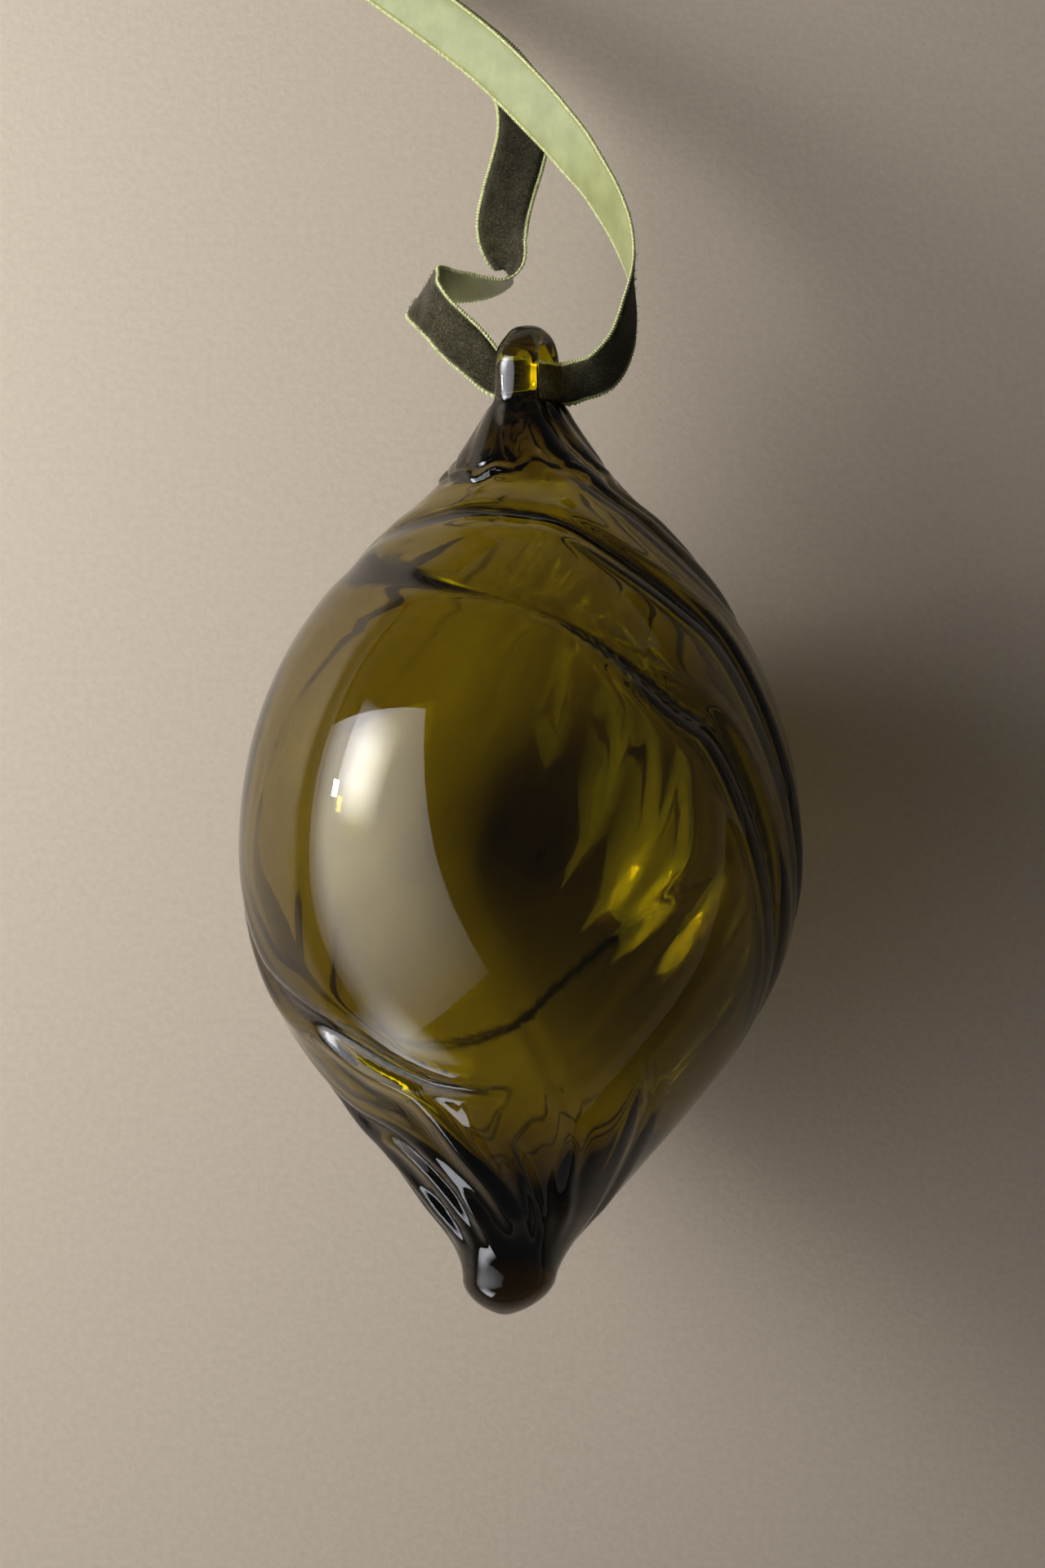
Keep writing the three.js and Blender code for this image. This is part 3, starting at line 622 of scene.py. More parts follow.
def bezier(points, count):
    p = np.array(points, float)
    t = np.linspace(0, 1, count)[:, None]
    if len(p) == 3:
        return (1 - t) ** 2 * p[0] + 2 * (1 - t) * t * p[1] + t * t * p[2]
    return (1 - t) ** 3 * p[0] + 3 * (1 - t) ** 2 * t * p[1] + 3 * (1 - t) * t * t * p[2] + t**3 * p[3]


# Outline resampled at steps that may vary with height
def resampled(profile, step_at):
    reach = np.concatenate([[0], np.cumsum(np.linalg.norm(np.diff(profile, axis=0), axis=1))])
    stops = [0.0]
    while stops[-1] < reach[-1]:
        height = np.interp(stops[-1], reach, profile[:, 1])
        stops.append(stops[-1] + step_at(height))
    stops = np.array(stops[:-1] + [reach[-1]])
    return np.stack([np.interp(stops, reach, profile[:, 0]), np.interp(stops, reach, profile[:, 1])], 1)


turn = np.linspace(0, math.pi / 2, 60)
nub = np.stack([NUB_RADIUS * np.sin(turn) ** NUB_TAPER, NUB_HEIGHT * (1 - np.cos(turn))], 1)
nub[-6:, 0] -= NUB_CREASE * np.linspace(0, 1, 6)
sweep = bezier([(NUB_RADIUS, NUB_HEIGHT), (7.5, 9.6), SWEEP_TOP], 40)
lower = bezier([SWEEP_TOP, (26.5, 33), (WIDE_RADIUS, WIDE_HEIGHT - 23), (WIDE_RADIUS, WIDE_HEIGHT)], 160)
upper = bezier([
    (WIDE_RADIUS, WIDE_HEIGHT),
    (WIDE_RADIUS, WIDE_HEIGHT + 24),
    (SHOULDER[0] + 12, SHOULDER[1] - 10),
    SHOULDER,
], 160)
cone = bezier([
    RIM,
    (RIM[0] - 2.2, RIM[1] + 3.1),
    (CONE_HALF_WIDTH + 1.9, CONE_TOP - 4.0),
    (CONE_HALF_WIDTH, CONE_TOP),
], 60)
dome_turn = np.linspace(0.1, math.pi / 2, 12)
dome = np.stack([CONE_HALF_WIDTH * np.cos(dome_turn), CONE_TOP + DOME_HEIGHT * np.sin(dome_turn)], 1)
body_profile = np.concatenate([nub[:-1], sweep, lower[1:], upper[1:], cone, dome])


TIP_LEAN = 2.2
TIP_LEAN_END = 34.0
NECK_LEAN = 1.2
NECK_LEAN_START = 96


# How far the axis leans to the side at a height: the tip to the left, the neck to the right
def lean(height):
    tip = np.maximum(0, 1 - np.asarray(height, float) / TIP_LEAN_END)
    return -TIP_LEAN * tip**2 + NECK_LEAN * smoothstep(height, NECK_LEAN_START, RIM[1])


# Folds of the glass. Each stop is a height, an angle round from the front, the depth pressed in,
# the fold's half width, and the half width of the band of painted shade along it, where the glass's
# colour is painted dark. Going down, the folds wind to the right; a depth below zero is a ridge.
FOLD_A = [
    (112.6, -78, 0.4, 2.2, 0.0), (114.6, -55, 0.7, 2.2, 0.2), (115.9, -32, 0.9, 2.0, 0.55),
    (115.6, -6, 1.1, 1.7, 0.62), (114.0, 17, 1.2, 1.6, 0.75), (109.5, 33, 1.3, 1.6, 0.9),
    (103, 50, 1.3, 1.6, 1.0), (97.6, 60, 1.25, 1.6, 1.0), (84.5, 67, 1.2, 1.6, 0.95),
    (72.6, 74, 1.1, 1.6, 0.9), (60, 83, 0.9, 1.7, 0.8), (48, 95, 0.7, 1.7, 0.5), (36, 109, 0.8, 1.5, 0.4),
    (24, 126, 0.8, 1.2, 0.3), (14, 143, 0.6, 0.9, 0.0), (9, 151, 0.0, 0.8, 0.0),
]
FOLD_B = [
    (109.4, -112, 0.3, 2.6, 2.4), (109.2, -92, 0.4, 2.7, 2.8), (108.0, -66, 0.35, 2.5, 2.6),
    (106.6, -42, 0.35, 2.0, 1.8), (104.9, -24, 0.3, 1.4, 0.8), (101.8, 0, 0.3, 1.0, 0.12),
    (97.6, 17, 0.8, 1.2, 0.35), (88.1, 37, 1.2, 1.6, 0.7), (84.5, 46, 1.3, 1.7, 0.8),
    (73.8, 55, 1.4, 1.8, 0.9), (60.7, 65, 1.3, 1.8, 0.85), (51.2, 75, 1.0, 1.7, 0.6),
    (42, 86, 0.8, 1.6, 0.4), (32, 99, 0.8, 1.4, 0.3), (22, 114, 0.8, 1.1, 0.2), (13, 131, 0.6, 0.9, 0.0),
    (9, 137, 0.0, 0.8, 0.0),
]
FOLD_C = [
    (116.6, 214, 0.4, 1.8, 0.0), (110, 226, 0.8, 1.8, 0.3), (102, 236, 0.5, 1.8, 0.2),
    (90, 248, 0.15, 1.8, 0.0), (78, 258, 0.12, 1.9, 0.0), (66, 270, 0.35, 2.1, 0.2),
    (58, 276, 1.0, 2.3, 0.9), (50, 283, 1.7, 2.4, 1.7), (45, 298, 1.6, 2.2, 1.3),
    (40.5, 315, 1.3, 1.9, 0.45), (37.5, 325, 1.1, 1.6, 0.4), (35.6, 336, 0.8, 1.3, 0.4),
    (34.8, 347, 0.4, 1.1, 0.4), (35.4, 356, 0.0, 1.0, 0.3),
]
FOLD_F = [
    (116, 190, 0.4, 1.8, 0.0), (110, 200, 0.8, 1.8, 0.2), (98, 213, 0.5, 1.8, 0.0),
    (84, 228, 0.2, 1.8, 0.0), (66, 242, 0.15, 1.8, 0.0), (50, 257, 0.45, 1.8, 0.0),
    (40, 269, 1.0, 1.8, 0.4), (34, 276, 1.2, 1.8, 0.8), (29.9, 286, 1.3, 1.7, 0.9),
    (26.9, 307, 1.1, 1.3, 0.6), (23.1, 316, 1.0, 1.1, 0.5), (17, 326, 0.8, 0.9, 0.4),
    (11.5, 333, 0.0, 0.8, 0.2),
]
CREST_D = [
    (46, -66, -0.2, 2.0, 0), (40.6, -54, -0.9, 1.9, 0), (37, -46, -1.1, 1.9, 0), (33, -32, -1.0, 1.8, 0),
    (24.6, -22, -0.8, 1.5, 0), (19.6, -13, -0.6, 1.2, 0), (14.8, -3.5, -0.4, 1.0, 0), (9.5, 5, 0.0, 0.8, 0),
]
STREAK_L = [
    (30, -82, -0.2, 1.8, 0), (24.6, -70, -0.7, 1.8, 0), (17.7, -62, -0.8, 1.6, 0), (11, -58, -0.6, 1.3, 0),
    (7.5, -48, 0.0, 1.0, 0),
]
SLIT_S = [
    (20, -56, 0.0, 0.6, 0.0), (17.7, -52, 0.55, 0.7, 0.45), (13.5, -49, 0.6, 0.7, 0.5),
    (9.8, -45, 0.0, 0.6, 0.2),
]
STREAK_M = [
    (19.5, -33, 0.0, 1.0, 0), (17, -30, -0.5, 1.1, 0), (12, -22, -0.5, 1.0, 0), (8.4, -14, 0.0, 0.8, 0),
]
CREASE_D2 = [
    (50, -3, 0.0, 1.4, 0), (44, 2, -0.3, 1.4, 0), (34.9, 10, -0.4, 1.3, 0), (26.9, 20, -0.5, 1.2, 0),
    (20.8, 25, -0.5, 1.0, 0), (15.5, 34, -0.4, 0.9, 0), (9, 45, 0.0, 0.7, 0),
]
CREASE_N = [
    (28, -4, 0.0, 1.0, 0.2), (22, 4, 0.5, 0.9, 0.3), (15, 15, 0.6, 0.8, 0.3), (9, 24, 0.0, 0.7, 0.1),
]
CREASE_R = [
    (40, 36, 0.0, 1.3, 0.2), (29, 46, 0.5, 1.2, 0.35), (20, 60, 0.7, 1.1, 0.35), (13, 76, 0.6, 0.9, 0.3),
    (9, 86, 0.0, 0.7, 0.0),
]

# The one long dark line of the wall behind, which winds faster than the folds beside it; its dark is partly
# its pressed shape and partly painted shade along its band
LINE_E = [
    (66, 122, 0.0, 1.6, 0.0), (58, 142, 0.25, 1.6, 0.35), (50, 160, 0.4, 1.6, 0.6),
    (45.5, 170, 0.4, 1.6, 0.55), (41.8, 179, 0.45, 1.6, 0.7), (38.6, 192, 0.45, 1.6, 0.6),
    (37, 207, 0.45, 1.6, 0.5), (36.8, 222, 0.35, 1.6, 0.45), (37.6, 236, 0.2, 1.6, 0.35),
    (39, 248, 0.0, 1.6, 0.0),
]

# Folds that go all the way down the sides and the back, by their place in the common twist
BACK_FOLDS = [46, 64, 82, 100, 118, 137, 157]
BACK_RIB = 0.4
SIDE_OFFSET = 60
TWIST_STOPS = np.array([
    (6, 142), (9, 137), (14, 129), (24, 112), (36, 95), (48, 81), (60, 69), (72.6, 60), (84.5, 53),
    (91, 49.5), (97.6, 45), (103, 36), (109.5, 20.5), (113, 14), (116, 9), (119, 1), (122, -10), (126, -29),
    (131, -43), (134, -48),
], float)
BACK_DEPTH = np.array([
    (8.5, 0.0), (14, 0.6), (24, 0.8), (36, 0.6), (50, 0.42), (66, 0.40), (84, 0.42), (96, 0.7), (108, 0.95),
    (114, 1.0), (117, 0.9), (120, 0.7),
], float)
BACK_WIDTH = np.array([
    (8.5, 0.8), (20, 1.1), (36, 1.7), (60, 2.2), (84, 2.1), (104, 1.7), (114, 1.4), (120, 1.2),
], float)
# Half widths of the bands of painted shade along the wound folds: near the tip, and on the sides for the
# folds that reach round
BACK_PAINTED_SHADE = np.array([(8.5, 0.0), (14, 0.25), (22, 0.4), (28, 0.25), (33, 0.0), (120, 0.0)], float)
SIDE_PAINTED_SHADE = np.array([(60, 0.0), (84, 0.5), (100, 0.8), (118, 0.7), (120, 0.5)], float)

# Mesh columns wind with the folds, and lie closest together round folds A and B
COLUMNS = np.radians(np.concatenate([np.arange(-34, 30, 0.8), np.arange(30, 128, 2), np.arange(129, 326, 2)]))


# Base surface at an angle and a height: half width across the eye's plane and half depth in it
def base_radius(angle, height, profile_radius):
    profile_radius = np.maximum(profile_radius, 1e-3)
    share = smoothstep(height, RIM[1], CONE_TOP)
    depth = profile_radius * (1 + share * (CONE_HALF_DEPTH / CONE_HALF_WIDTH - 1))
    across = np.sin(angle + EYE_TURN) / profile_radius
    along = np.cos(angle + EYE_TURN) / depth
    return 1 / np.hypot(across, along)


def surface_point(angle, height, radius):
    return np.stack([lean(height) + radius * np.sin(angle), height + 0 * angle, radius * np.cos(angle)], -1)


body_heights = body_profile[:, 1]


def radius_at(height):
    order = np.argsort(body_heights)
    return np.interp(height, body_heights[order], body_profile[order, 0])


def twist_at(height):
    return np.interp(height, TWIST_STOPS[:, 0], TWIST_STOPS[:, 1])


LINE_POINTS = 240
NARROWEST_FOLD = 0.4


# A fold's line as points on the surface, with its depth, half width and band of painted shade at each
def fold_line(stops, rib):
    stops = np.array(stops, float)
    line = np.array([spline_at(stops, s) for s in np.linspace(0, 1, LINE_POINTS)])
    heights, angles = line[:, 0], np.radians(line[:, 1])
    points = surface_point(angles, heights, base_radius(angles, heights, radius_at(heights)))
    return points, line[:, 2], np.maximum(line[:, 3], NARROWEST_FOLD), rib, line[:, 4]


# The rib is how many times its own depth a fold stands into the hollow, as a narrow fin of thick glass
folds = [fold_line(stops, rib) for stops, rib in (
    (FOLD_A, 1.8), (FOLD_B, 1.6), (FOLD_C, 1.2), (FOLD_F, 1.2), (CREST_D, 0), (STREAK_L, 0),
    (SLIT_S, 0.5), (STREAK_M, 0), (CREASE_D2, 0), (CREASE_N, 1.0), (CREASE_R, 1.0), (LINE_E, 0.4),
)]


# A fold of the common twist, with a band of painted shade near the tip; the ones that reach round to the
# sides have a band of painted shade there too
def wound_fold(offset):
    height = np.linspace(120, 8.5, 44)
    depth, width, back, side = (
        np.interp(height, stops[:, 0], stops[:, 1])
        for stops in (BACK_DEPTH, BACK_WIDTH, BACK_PAINTED_SHADE, SIDE_PAINTED_SHADE)
    )
    painted_shade_band = back + side if offset < SIDE_OFFSET else back
    return fold_line(np.stack([height, offset + twist_at(height), depth, width, painted_shade_band], 1), BACK_RIB)


folds.extend(wound_fold(offset) for offset in BACK_FOLDS)


# Where a fold's lip and its rib's edge lie, in half widths of the fold
LIP_PLACE = 1.8
RIB_HALF_WIDTH = 0.62


# How far the folds press a surface in, outside with a raised lip beside each and inside with a rib,
# and how far each point lies in a fold's band of painted shade
def pressed(points, widen, lip, ribbed):
    total = np.zeros(len(points))
    dark = np.zeros(len(points))
    for line, depth, width, rib, painted_shade_band in folds:
        reach = 3.5 * widen * width.max()
        near = np.nonzero(np.all((points > line.min(0) - reach) & (points < line.max(0) + reach), axis=1))[0]
        for part in np.array_split(near, max(1, len(near) // 6000)):
            gaps = np.linalg.norm(points[part][:, None, :] - line[None, :, :], axis=2)
            closest = gaps.argmin(1)
            gap = gaps[np.arange(len(part)), closest]
            x = gap / (width[closest] * widen)
            section = np.exp(-x * x) - lip * np.exp(-((x - LIP_PLACE) ** 2))
            if ribbed:
                section = section + rib * np.exp(-((x * widen / RIB_HALF_WIDTH) ** 2))
            total[part] += depth[closest] * section
            half = painted_shade_band[closest]
            inside = (1 - smoothstep(gap, half - 0.25, half + 0.35)) * smoothstep(half, 0.02, 0.3)
            dark[part] = np.maximum(dark[part], inside)
    return total, dark


# Flutes of the hook's cone, from the limb down over the rim
FLUTES = 11
FLUTE_PHASE = math.radians(38)
FLUTE_DEPTH = 0.6


def flutes(angle, height):
    share = smoothstep(height, 118.5, 123.5) * (1 - 0.4 * smoothstep(height, 130, 134))
    turn = np.radians(twist_at(height)) + FLUTE_PHASE
    wave = 0.5 + 0.5 * np.cos(FLUTES * (angle - turn))
    uneven = 0.75 + 0.35 * np.sin(2 * (angle - turn) + 0.7)
    return FLUTE_DEPTH * share * uneven * wave**1.6


# The seam where the hook's bit of glass was put on: a wavy step and a second groove round the neck
SEAM_HEIGHT = 121.8
SEAM_WAVES = ((0.8, 2, 0.6), (0.6, 5, 1.2), (0.45, 13, 0.4))
SEAM_HALF_WIDTH = 0.5
GROOVE_RISE = 1.9
GROOVE_HALF_WIDTH = 0.45


def seam(angle, height):
    level = SEAM_HEIGHT + sum(size * np.sin(count * angle + phase) for size, count, phase in SEAM_WAVES)
    strength = 0.25 + 0.75 * smoothstep(-np.sin(angle + 0.1), -0.3, 0.6)
    away = (height - level) / SEAM_HALF_WIDTH
    groove = (height - level - GROOVE_RISE - 0.6 * np.sin(angle * 8)) / GROOVE_HALF_WIDTH
    step = 0.5 * np.exp(-away * away) - 0.3 * np.exp(-((away - LIP_PLACE) ** 2))
    return strength * (step + 0.3 * np.exp(-groove * groove))


# The same push with each ring's own average taken off near both ends, so that the outline keeps its
# size there
def about_outline(push, height, sides):
    average = np.repeat(push.reshape(-1, sides).mean(axis=1), sides)
    return push - average * np.maximum(1 - smoothstep(height, 22, 40), smoothstep(height, 110, 122))


# Marks how far each point of a mesh lies in a fold's band of painted shade, where the glass's colour is
# painted dark
def mark_painted_shade(obj):
    places = np.array([v.co for v in obj.data.vertices]) / MM - AXIS_FOOT
    height = places[:, 1]
    angle = np.arctan2(places[:, 0] - lean(height), places[:, 2])
    on_outline = surface_point(angle, height, base_radius(angle, height, radius_at(height)))
    dark = pressed(on_outline, 1.0, 0.0, False)[1]
    dark = dark * smoothstep(height, 8.5, 10.5) * (1 - smoothstep(height, 121, 123))
    layer = obj.data.attributes.new("painted_fold_shade", "FLOAT", "POINT")
    layer.data.foreach_set("value", dark.astype(np.float32))


# A ring surface round the axis, closed by a point at each end
def closed_rings(name, points, rings, sides, first_point, last_point):
    points = list(points)
    first = len(points)
    points.extend([np.array(first_point, float), np.array(last_point, float)])
    faces = grid_faces(rings, sides)
    last = (rings - 1) * sides
    for s in range(sides):
        n = (s + 1) % sides
        faces.append((first, n, s))
        faces.append((first + 1, last + s, last + n))
    return new_mesh(name, row(points), faces)


def wound_grid(profile):
    sides = len(COLUMNS)
    height = np.repeat(profile[:, 1], sides)
    return np.tile(COLUMNS, len(profile)) + np.radians(twist_at(height)), height, sides


def shell_step(height):
    if height > 122.5:
        return 0.4
    if height > 98 or height < 12:
        return 0.52
    return 0.72 if height < 46 else 1.25


LIP_HEIGHT = 0.22


def outer_shell():
    profile = resampled(body_profile, shell_step)[1:-1]
    angle, height, sides = wound_grid(profile)
    radius = base_radius(angle, height, np.repeat(profile[:, 0], sides))
    base = surface_point(angle, height, radius)
    push = pressed(base, 1.0, LIP_HEIGHT, False)[0] * smoothstep(height, 8, 17)
    push = about_outline(push + flutes(angle, height) + seam(angle, height), height, sides)
    push = push * (1 - smoothstep(height, 132.5, 133.6))
    # Slow waves that no hand-blown wall is without
    waves = 0.07 * np.sin(angle * 3 + height * 0.09) * np.sin(height * 0.06 + 0.6)
    waves = waves + 0.05 * np.sin(angle * 5 - height * 0.13 + 1.1)
    waves = waves * smoothstep(height, 12, 30) * (1 - smoothstep(height, 108, 120))
    points = surface_point(angle, height, np.maximum(radius - push + waves, 0.2))
    bottom = [float(lean(0)), 0.0, 0.0]
    top = [float(lean(CONE_TOP)), CONE_TOP + DOME_HEIGHT, 0.0]
    return closed_rings("shell", points, len(profile), sides, bottom, top)


# The hollow: the bubble of the body, open into a narrow neck that runs up inside the hook's cone
WALL = 1.9
BUBBLE_END = 13.0
NECK_END = 130.2
NECK_FOOT = (8.6, 123.2)
COLLAR_FOOT = (14.6, 117.2)

# The folds as the hollow has them: wider and a little deeper than outside
INNER_WIDENING = 1.45
INNER_DEPTH = 1.1


def bubble_step(height):
    if height > 118:
        return 1.0
    if height > 100:
        return 0.6
    return 0.9 if height < 46 else 1.4


def bubble():
    inner = WIDE_RADIUS - WALL
    neck = bezier([(0.02, NECK_END), (3.2, NECK_END), (4.2, 127.4), NECK_FOOT], 30)
    collar = bezier([NECK_FOOT, (11.0, 120.6), COLLAR_FOOT], 20)
    top = bezier([COLLAR_FOOT, (27, 106.5), (inner, WIDE_HEIGHT + 23), (inner, WIDE_HEIGHT)], 160)
    end = bezier([(inner, WIDE_HEIGHT), (inner, WIDE_HEIGHT - 25), (17, 22.5), (0.05, BUBBLE_END)], 160)
    profile = resampled(np.concatenate([neck, collar[1:], top[1:], end[1:]]), bubble_step)[1:-1]
    angle, height, sides = wound_grid(profile)
    radius = np.repeat(profile[:, 0], sides)
    outside = surface_point(angle, height, radius + WALL)
    push = pressed(outside, INNER_WIDENING, 0.0, True)[0] * INNER_DEPTH * smoothstep(radius, 6, 15)
    push = about_outline(push + 0.8 * flutes(angle, height) * smoothstep(radius, 2, 5), height, sides)
    waves = 0.16 * np.sin(angle * 4 + height * 0.13 + 2) + 0.12 * np.sin(angle * 7 - height * 0.1)
    # Quick ripples on the wall behind, low on the right
    behind = smoothstep(-np.cos(angle - 0.55), 0.35, 0.9) * smoothstep(height, 34, 52)
    behind = behind * (1 - smoothstep(height, 84, 100))
    ripples = 0.16 * np.sin(angle * 13 + height * 0.42) + 0.10 * np.sin(angle * 21 - height * 0.3)
    waves = (waves + behind * ripples) * smoothstep(radius, 12, 30)
    points = surface_point(angle, height, np.maximum(radius - push + waves, 0.03))
    top, bottom = ([float(lean(end)), end, 0.0] for end in (NECK_END, BUBBLE_END))
    hollow = closed_rings("bubble", points, len(profile), sides, top, bottom)
    mark_painted_shade(hollow)
    return hollow


# A point of the hook, from its place across the eye, its height and its depth towards the front
def hook_point(across, height, depth):
    return EYE_CENTRE * [1, 0, 1] + BORE * across + np.array([0, height, 0]) - BACK * depth


# The limb: up the front, over the eye and down the back, where its end is pressed on
def limb():
    arch = HOOK_TOP - LIMB_HALF_THICKNESS - LOOP_RADIUS
    leg = [
        (LOOP_RADIUS - LIMB_INSET * (1 - share) ** 2, LIMB_FOOT + (arch - LIMB_FOOT) * share)
        for share in np.linspace(0, 1, 26)[:-1]
    ]
    over = [
        (LOOP_RADIUS * math.cos(a), arch + LOOP_RADIUS * math.sin(a)) for a in np.linspace(0, math.pi, 60)
    ]
    route = np.array(leg + over + [(-depth, height) for depth, height in reversed(leg)])
    heading = np.gradient(route, axis=0)
    heading /= np.linalg.norm(heading, axis=1)[:, None]
    sides = 48
    points = []
    for i, (depth, height) in enumerate(route):
        share = i / (len(route) - 1)
        foot = 1 + 0.32 * max(0.0, 1 - share * 4) + 0.25 * max(0.0, (share - 0.8) * 5) ** 2
        foot += 0.10 * math.exp(-(((share - 0.27) / 0.09) ** 2))
        foot -= 0.05 * math.exp(-(((share - 0.4) / 0.05) ** 2))
        ribbed = 0.012 + 0.06 * float(smoothstep(abs(2 * share - 1), 0.6, 1.0))
        for s in range(sides):
            angle = 2 * math.pi * s / sides
            flute = 1 + ribbed * math.cos(5 * (angle - 1.5 * math.pi * share))
            flute += 0.02 * math.sin(9 * share + angle)
            across = LIMB_HALF_WIDTH * foot * flute * math.cos(angle)
            out = LIMB_HALF_THICKNESS * foot * flute * math.sin(angle)
            points.append(hook_point(across, height - heading[i, 0] * out, depth + heading[i, 1] * out))
    faces = [f[::-1] for f in grid_faces(len(route), sides)]
    faces.append(tuple(range(sides)))
    last = (len(route) - 1) * sides
    faces.append(tuple(last + s for s in reversed(range(sides))))
    return new_mesh("limb", row(points), faces)


# The pressed end of the limb, a flattened pad on the back of the cone
def pad():
    rings, sides = 20, 36
    depth = PAD_INSET - LOOP_RADIUS
    points = []
    for polar in math.pi * np.arange(1, rings) / rings:
        for angle in 2 * math.pi * np.arange(sides) / sides:
            across = PAD_RADIUS * math.sin(polar) * math.cos(angle)
            out = PAD_HALF_THICKNESS * math.sin(polar) * math.sin(angle)
            points.append(hook_point(across, PAD_HEIGHT + PAD_RADIUS * math.cos(polar), depth - out))
    top = len(points)
    bottom = top + 1
    points.extend(hook_point(0, PAD_HEIGHT + rise, depth) for rise in (PAD_RADIUS, -PAD_RADIUS))
    faces = [f[::-1] for f in grid_faces(rings - 1, sides)]
    last = (rings - 2) * sides
    for s in range(sides):
        n = (s + 1) % sides
        faces.append((top, s, n))
        faces.append((bottom, last + n, last + s))
    return new_mesh("pad", row(points), faces)


# Turns all faces of a closed mesh outward, or inward for a hollow
def turn_faces(obj, inward=False):
    mesh = bmesh.new()
    mesh.from_mesh(obj.data)
    bmesh.ops.recalc_face_normals(mesh, faces=mesh.faces)
    if (mesh.calc_volume(signed=True) < 0) != inward:
        bmesh.ops.reverse_faces(mesh, faces=mesh.faces)
    mesh.to_mesh(obj.data)
    mesh.free()


# Joins a second closed mesh to the first and takes it away
def join(base, other):
    modifier = base.modifiers.new("join", "BOOLEAN")
    modifier.operation = "UNION"
    modifier.solver = "MANIFOLD"
    modifier.object = other
    graph = bpy.context.evaluated_depsgraph_get()
    joined = bpy.data.meshes.new_from_object(base.evaluated_get(graph))
    base.modifiers.clear()
    base.data = joined
    bpy.data.objects.remove(other)


shell = outer_shell()
limb_piece = limb()
pad_piece = pad()
for piece in (shell, limb_piece, pad_piece):
    turn_faces(piece)
join(limb_piece, pad_piece)
join(shell, limb_piece)


MELT_PASSES = 14


# Round off where the limb meets the cone, as hot glass runs together
def melt(obj, passes):
    mesh = bmesh.new()
    mesh.from_mesh(obj.data)
    mesh.verts.ensure_lookup_table()
    places = np.array([v.co for v in mesh.verts]) / MM - AXIS_FOOT
    height = places[:, 1]
    amount = smoothstep(height, 125.5, 128.0) * (1 - smoothstep(height, 134.5, 137.5))
    chosen = np.nonzero(amount > 0.01)[0]
    neighbours = [[e.other_vert(mesh.verts[i]).index for e in mesh.verts[i].link_edges] for i in chosen]
    for _ in range(passes):
        moved = places.copy()
        for i, near in zip(chosen, neighbours):
            moved[i] = places[i] + (places[near].mean(0) - places[i]) * 0.5 * amount[i]
        places = moved
    for i in chosen:
        mesh.verts[i].co = Vector(row(places[i]))
    mesh.to_mesh(obj.data)
    mesh.free()


melt(shell, MELT_PASSES)
mark_painted_shade(shell)

hollow = bubble()
turn_faces(hollow, inward=True)


# Clear olive glass, darker where it is thick, with painted shade: its colour is painted nearly black along
# the bands of its folds
def glass_material():
    material, tree, shader = new_material("glass")
    painted_fold_shade = tree.nodes.new("ShaderNodeAttribute")
    painted_fold_shade.attribute_name = "painted_fold_shade"
    # Painted shade: the pale glass colour runs to nearly black inside the folds' bands
    painted_shade_tint = add_ramp(tree, painted_fold_shade.outputs["Fac"], [(0.0, (1.0, 0.95, 0.8)), (1.0, (0.012, 0.010, 0.003))])
    tree.links.new(painted_shade_tint, shader.inputs["Base Color"])
    set_inputs(shader, Roughness=0.0, IOR=1.54, Transmission_Weight=1.0)
    inside = add_node(tree, "ShaderNodeVolumeAbsorption", Color=(0.8125, 0.783, 0.0, 1), Density=1600)
    tree.links.new(inside.outputs["Volume"], tree.nodes["Material Output"].inputs["Volume"])
    return material


glass = glass_material()
for piece in (shell, hollow):
    piece.data.materials.clear()
    piece.data.materials.append(glass)
with bpy.context.temp_override(active_object=shell, selected_editable_objects=[shell, hollow]):
    bpy.ops.object.join()
shell.name = "glass_body"
shell.data.name = "glass_body"
shell.data.polygons.foreach_set("use_smooth", [True] * len(shell.data.polygons))
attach(shell, "glass")
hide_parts("glass_bulb", "glass_hook")


# Floor and studio
def floor_material():
    material, tree, shader = new_material("floor")
    grain = add_noise(tree, 900, 4, 0.6)
    tone = add_ramp(tree, grain, [(0.3, (0.54, 0.45, 0.345)), (0.7, (0.60, 0.505, 0.39))])
    tree.links.new(tone, shader.inputs["Base Color"])
    add_bump(tree, shader, grain, 0.25, 0.0002)
    set_inputs(shader, Roughness=0.9)
    return material


FLOOR_REACH = 4.0
corners = [(x * FLOOR_REACH, y * FLOOR_REACH, 0) for x, y in ((-1, -1), (1, -1), (1, 1), (-1, 1))]
floor = new_mesh("floor", corners, [(0, 1, 2, 3)], [floor_material()], smooth=False)

# The world: a soft room, paler towards its floor than its ceiling
world = bpy.data.worlds.new("studio")
bpy.context.scene.world = world
world.use_nodes = True
sky = world.node_tree
direction = sky.nodes.new("ShaderNodeTexCoord")
parts = sky.nodes.new("ShaderNodeSeparateXYZ")
sky.links.new(direction.outputs["Generated"], parts.inputs["Vector"])
room = [(0.0, (0.20, 0.18, 0.15)), (0.1, (0.08, 0.08, 0.08)), (0.5, (0.06, 0.06, 0.06))]
sky.links.new(add_ramp(sky, parts.outputs["Z"], room), sky.nodes["Background"].inputs["Color"])
sky.nodes["Background"].inputs["Strength"].default_value = 1.0


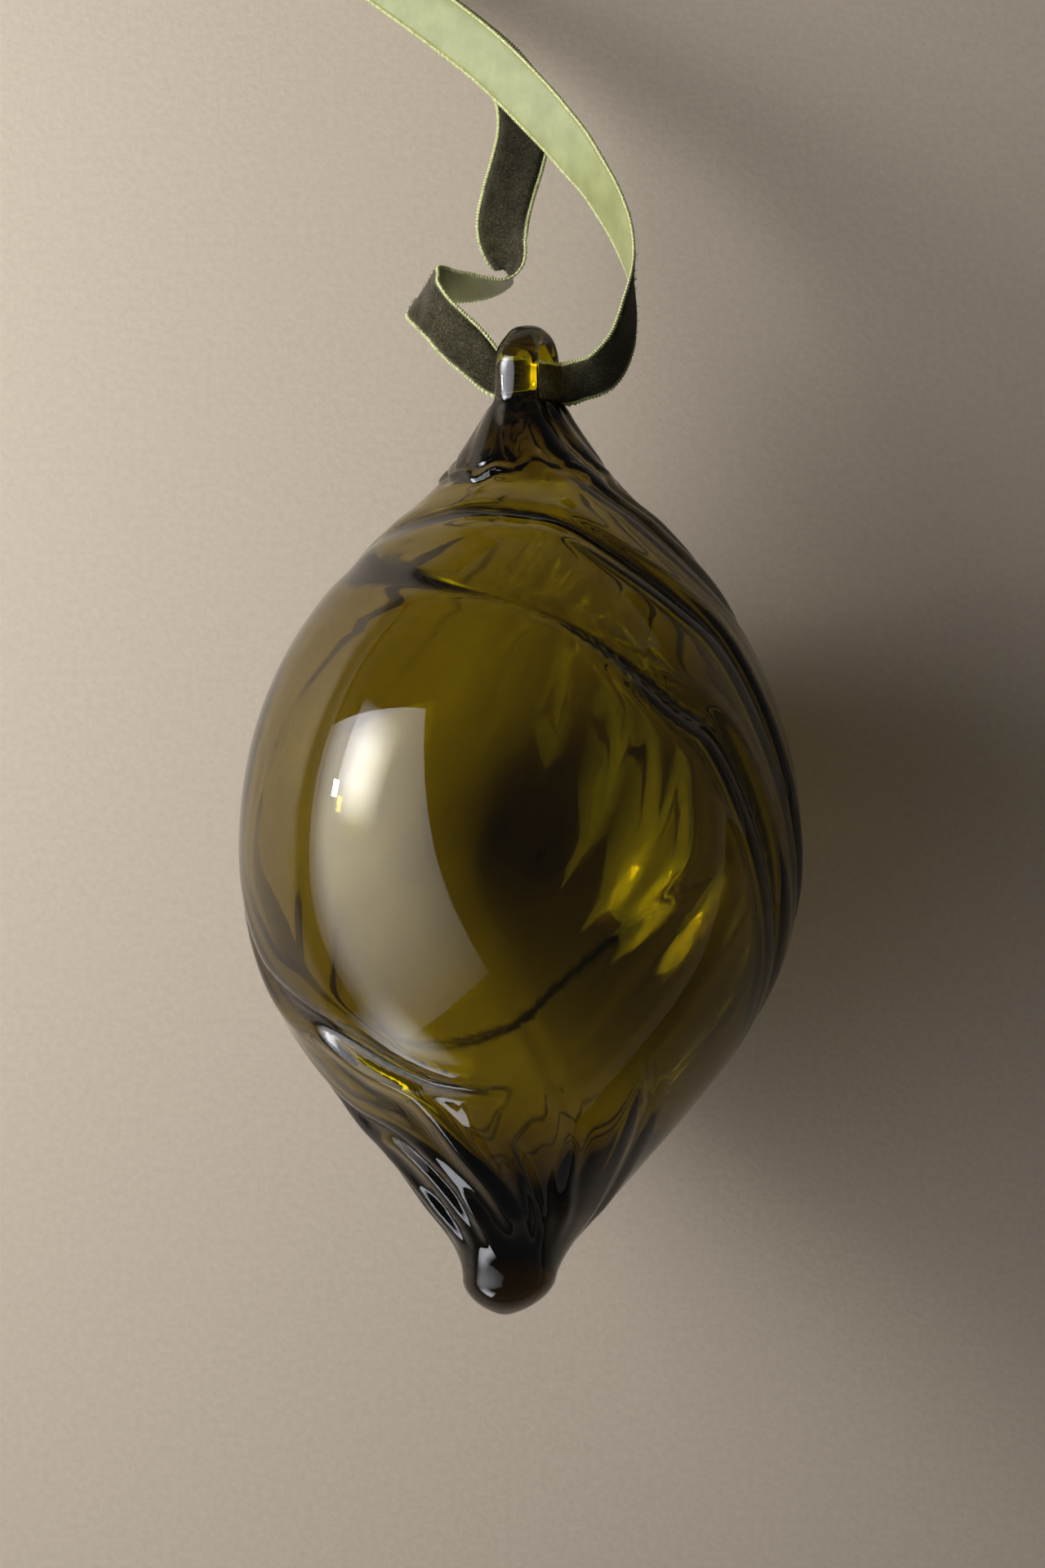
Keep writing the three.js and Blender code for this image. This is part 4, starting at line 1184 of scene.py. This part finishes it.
# A lamp panel, never seen by the camera, whose light falls off across and up it by the given ramps,
# and away from its aim as a grid in front of it, with a spread in degrees, lets it
def panel_light(name, place, aim, size, power, color, across=None, upward=None, spread=180):
    data = bpy.data.lights.new(name, "AREA")
    data.shape = "RECTANGLE"
    data.size, data.size_y = size
    data.energy = power
    data.spread = math.radians(spread)
    data.color = color
    light = bpy.data.objects.new(name, data)
    bpy.context.scene.collection.objects.link(light)
    light.location = place
    light.rotation_euler = (Vector(aim) - Vector(place)).to_track_quat("-Z", "Y").to_euler()
    light.visible_camera = False
    if across:
        data.use_nodes = True
        tree = data.node_tree
        spot = tree.nodes.new("ShaderNodeNewGeometry")
        split = tree.nodes.new("ShaderNodeSeparateXYZ")
        tree.links.new(spot.outputs["Parametric"], split.inputs["Vector"])
        both = tree.nodes.new("ShaderNodeMath")
        both.operation = "MULTIPLY"
        for k, (axis, stops) in enumerate((("X", across), ("Y", upward))):
            greys = [(position, (level, level, level)) for position, level in stops]
            tree.links.new(add_ramp(tree, split.outputs[axis], greys), both.inputs[k])
        tree.links.new(both.outputs["Value"], tree.nodes["Emission"].inputs["Strength"])


# The window stands at the left and leans over the ornament
WINDOW = np.array([-0.243, -0.020, 0.170])
WINDOW_HEADING = np.array([0.761, 0.291, -0.58])
panel_light(
    "window", place=WINDOW, aim=WINDOW + WINDOW_HEADING, size=(0.504, 0.31),
    power=3.7, color=(0.95, 0.955, 1.0),
    across=[(0.0, 1.0), (0.25, 0.62), (0.6, 0.3), (1.0, 0.08)],
    upward=[(0.0, 0.15), (0.22, 0.9), (0.4, 0.8), (1.0, 0.35)],
    spread=130,
)

# The sky beyond it, which lights the floor evenly and whitens the window's own reflection
panel_light(
    "sky", place=(-1.42, 0.50, 0.60), aim=(0.0, 0.0, 0.04), size=(0.80, 0.66),
    power=22, color=(0.93, 0.95, 1.0),
    across=[(0.0, 0.0), (0.35, 1.0), (0.65, 1.0), (1.0, 0.0)],
    upward=[(0.0, 0.3), (0.35, 1.0), (0.6, 0.8), (1.0, 0.0)],
)

# The window's low end, which whitens the folds that run to the tip
panel_light(
    "low_end", place=(-0.155, -0.225, 0.085), aim=(-0.018, -0.045, 0.05), size=(0.15, 0.09),
    power=0.052, color=(0.93, 0.94, 1.0),
    across=[(0.0, 0.0), (0.45, 0.8), (1.0, 1.0)],
    upward=[(0.0, 0.7), (0.35, 0.8), (1.0, 0.0)],
    spread=70,
)

# A small bright pane in the same window, which gives the glass its glints
panel_light(
    "pane", place=(-0.330, 0.072, 0.112), aim=(-0.024, -0.004, 0.074), size=(0.022, 0.016),
    power=0.10, color=(1.0, 0.97, 0.9),
)

bpy.context.scene.view_settings.view_transform = "Standard"
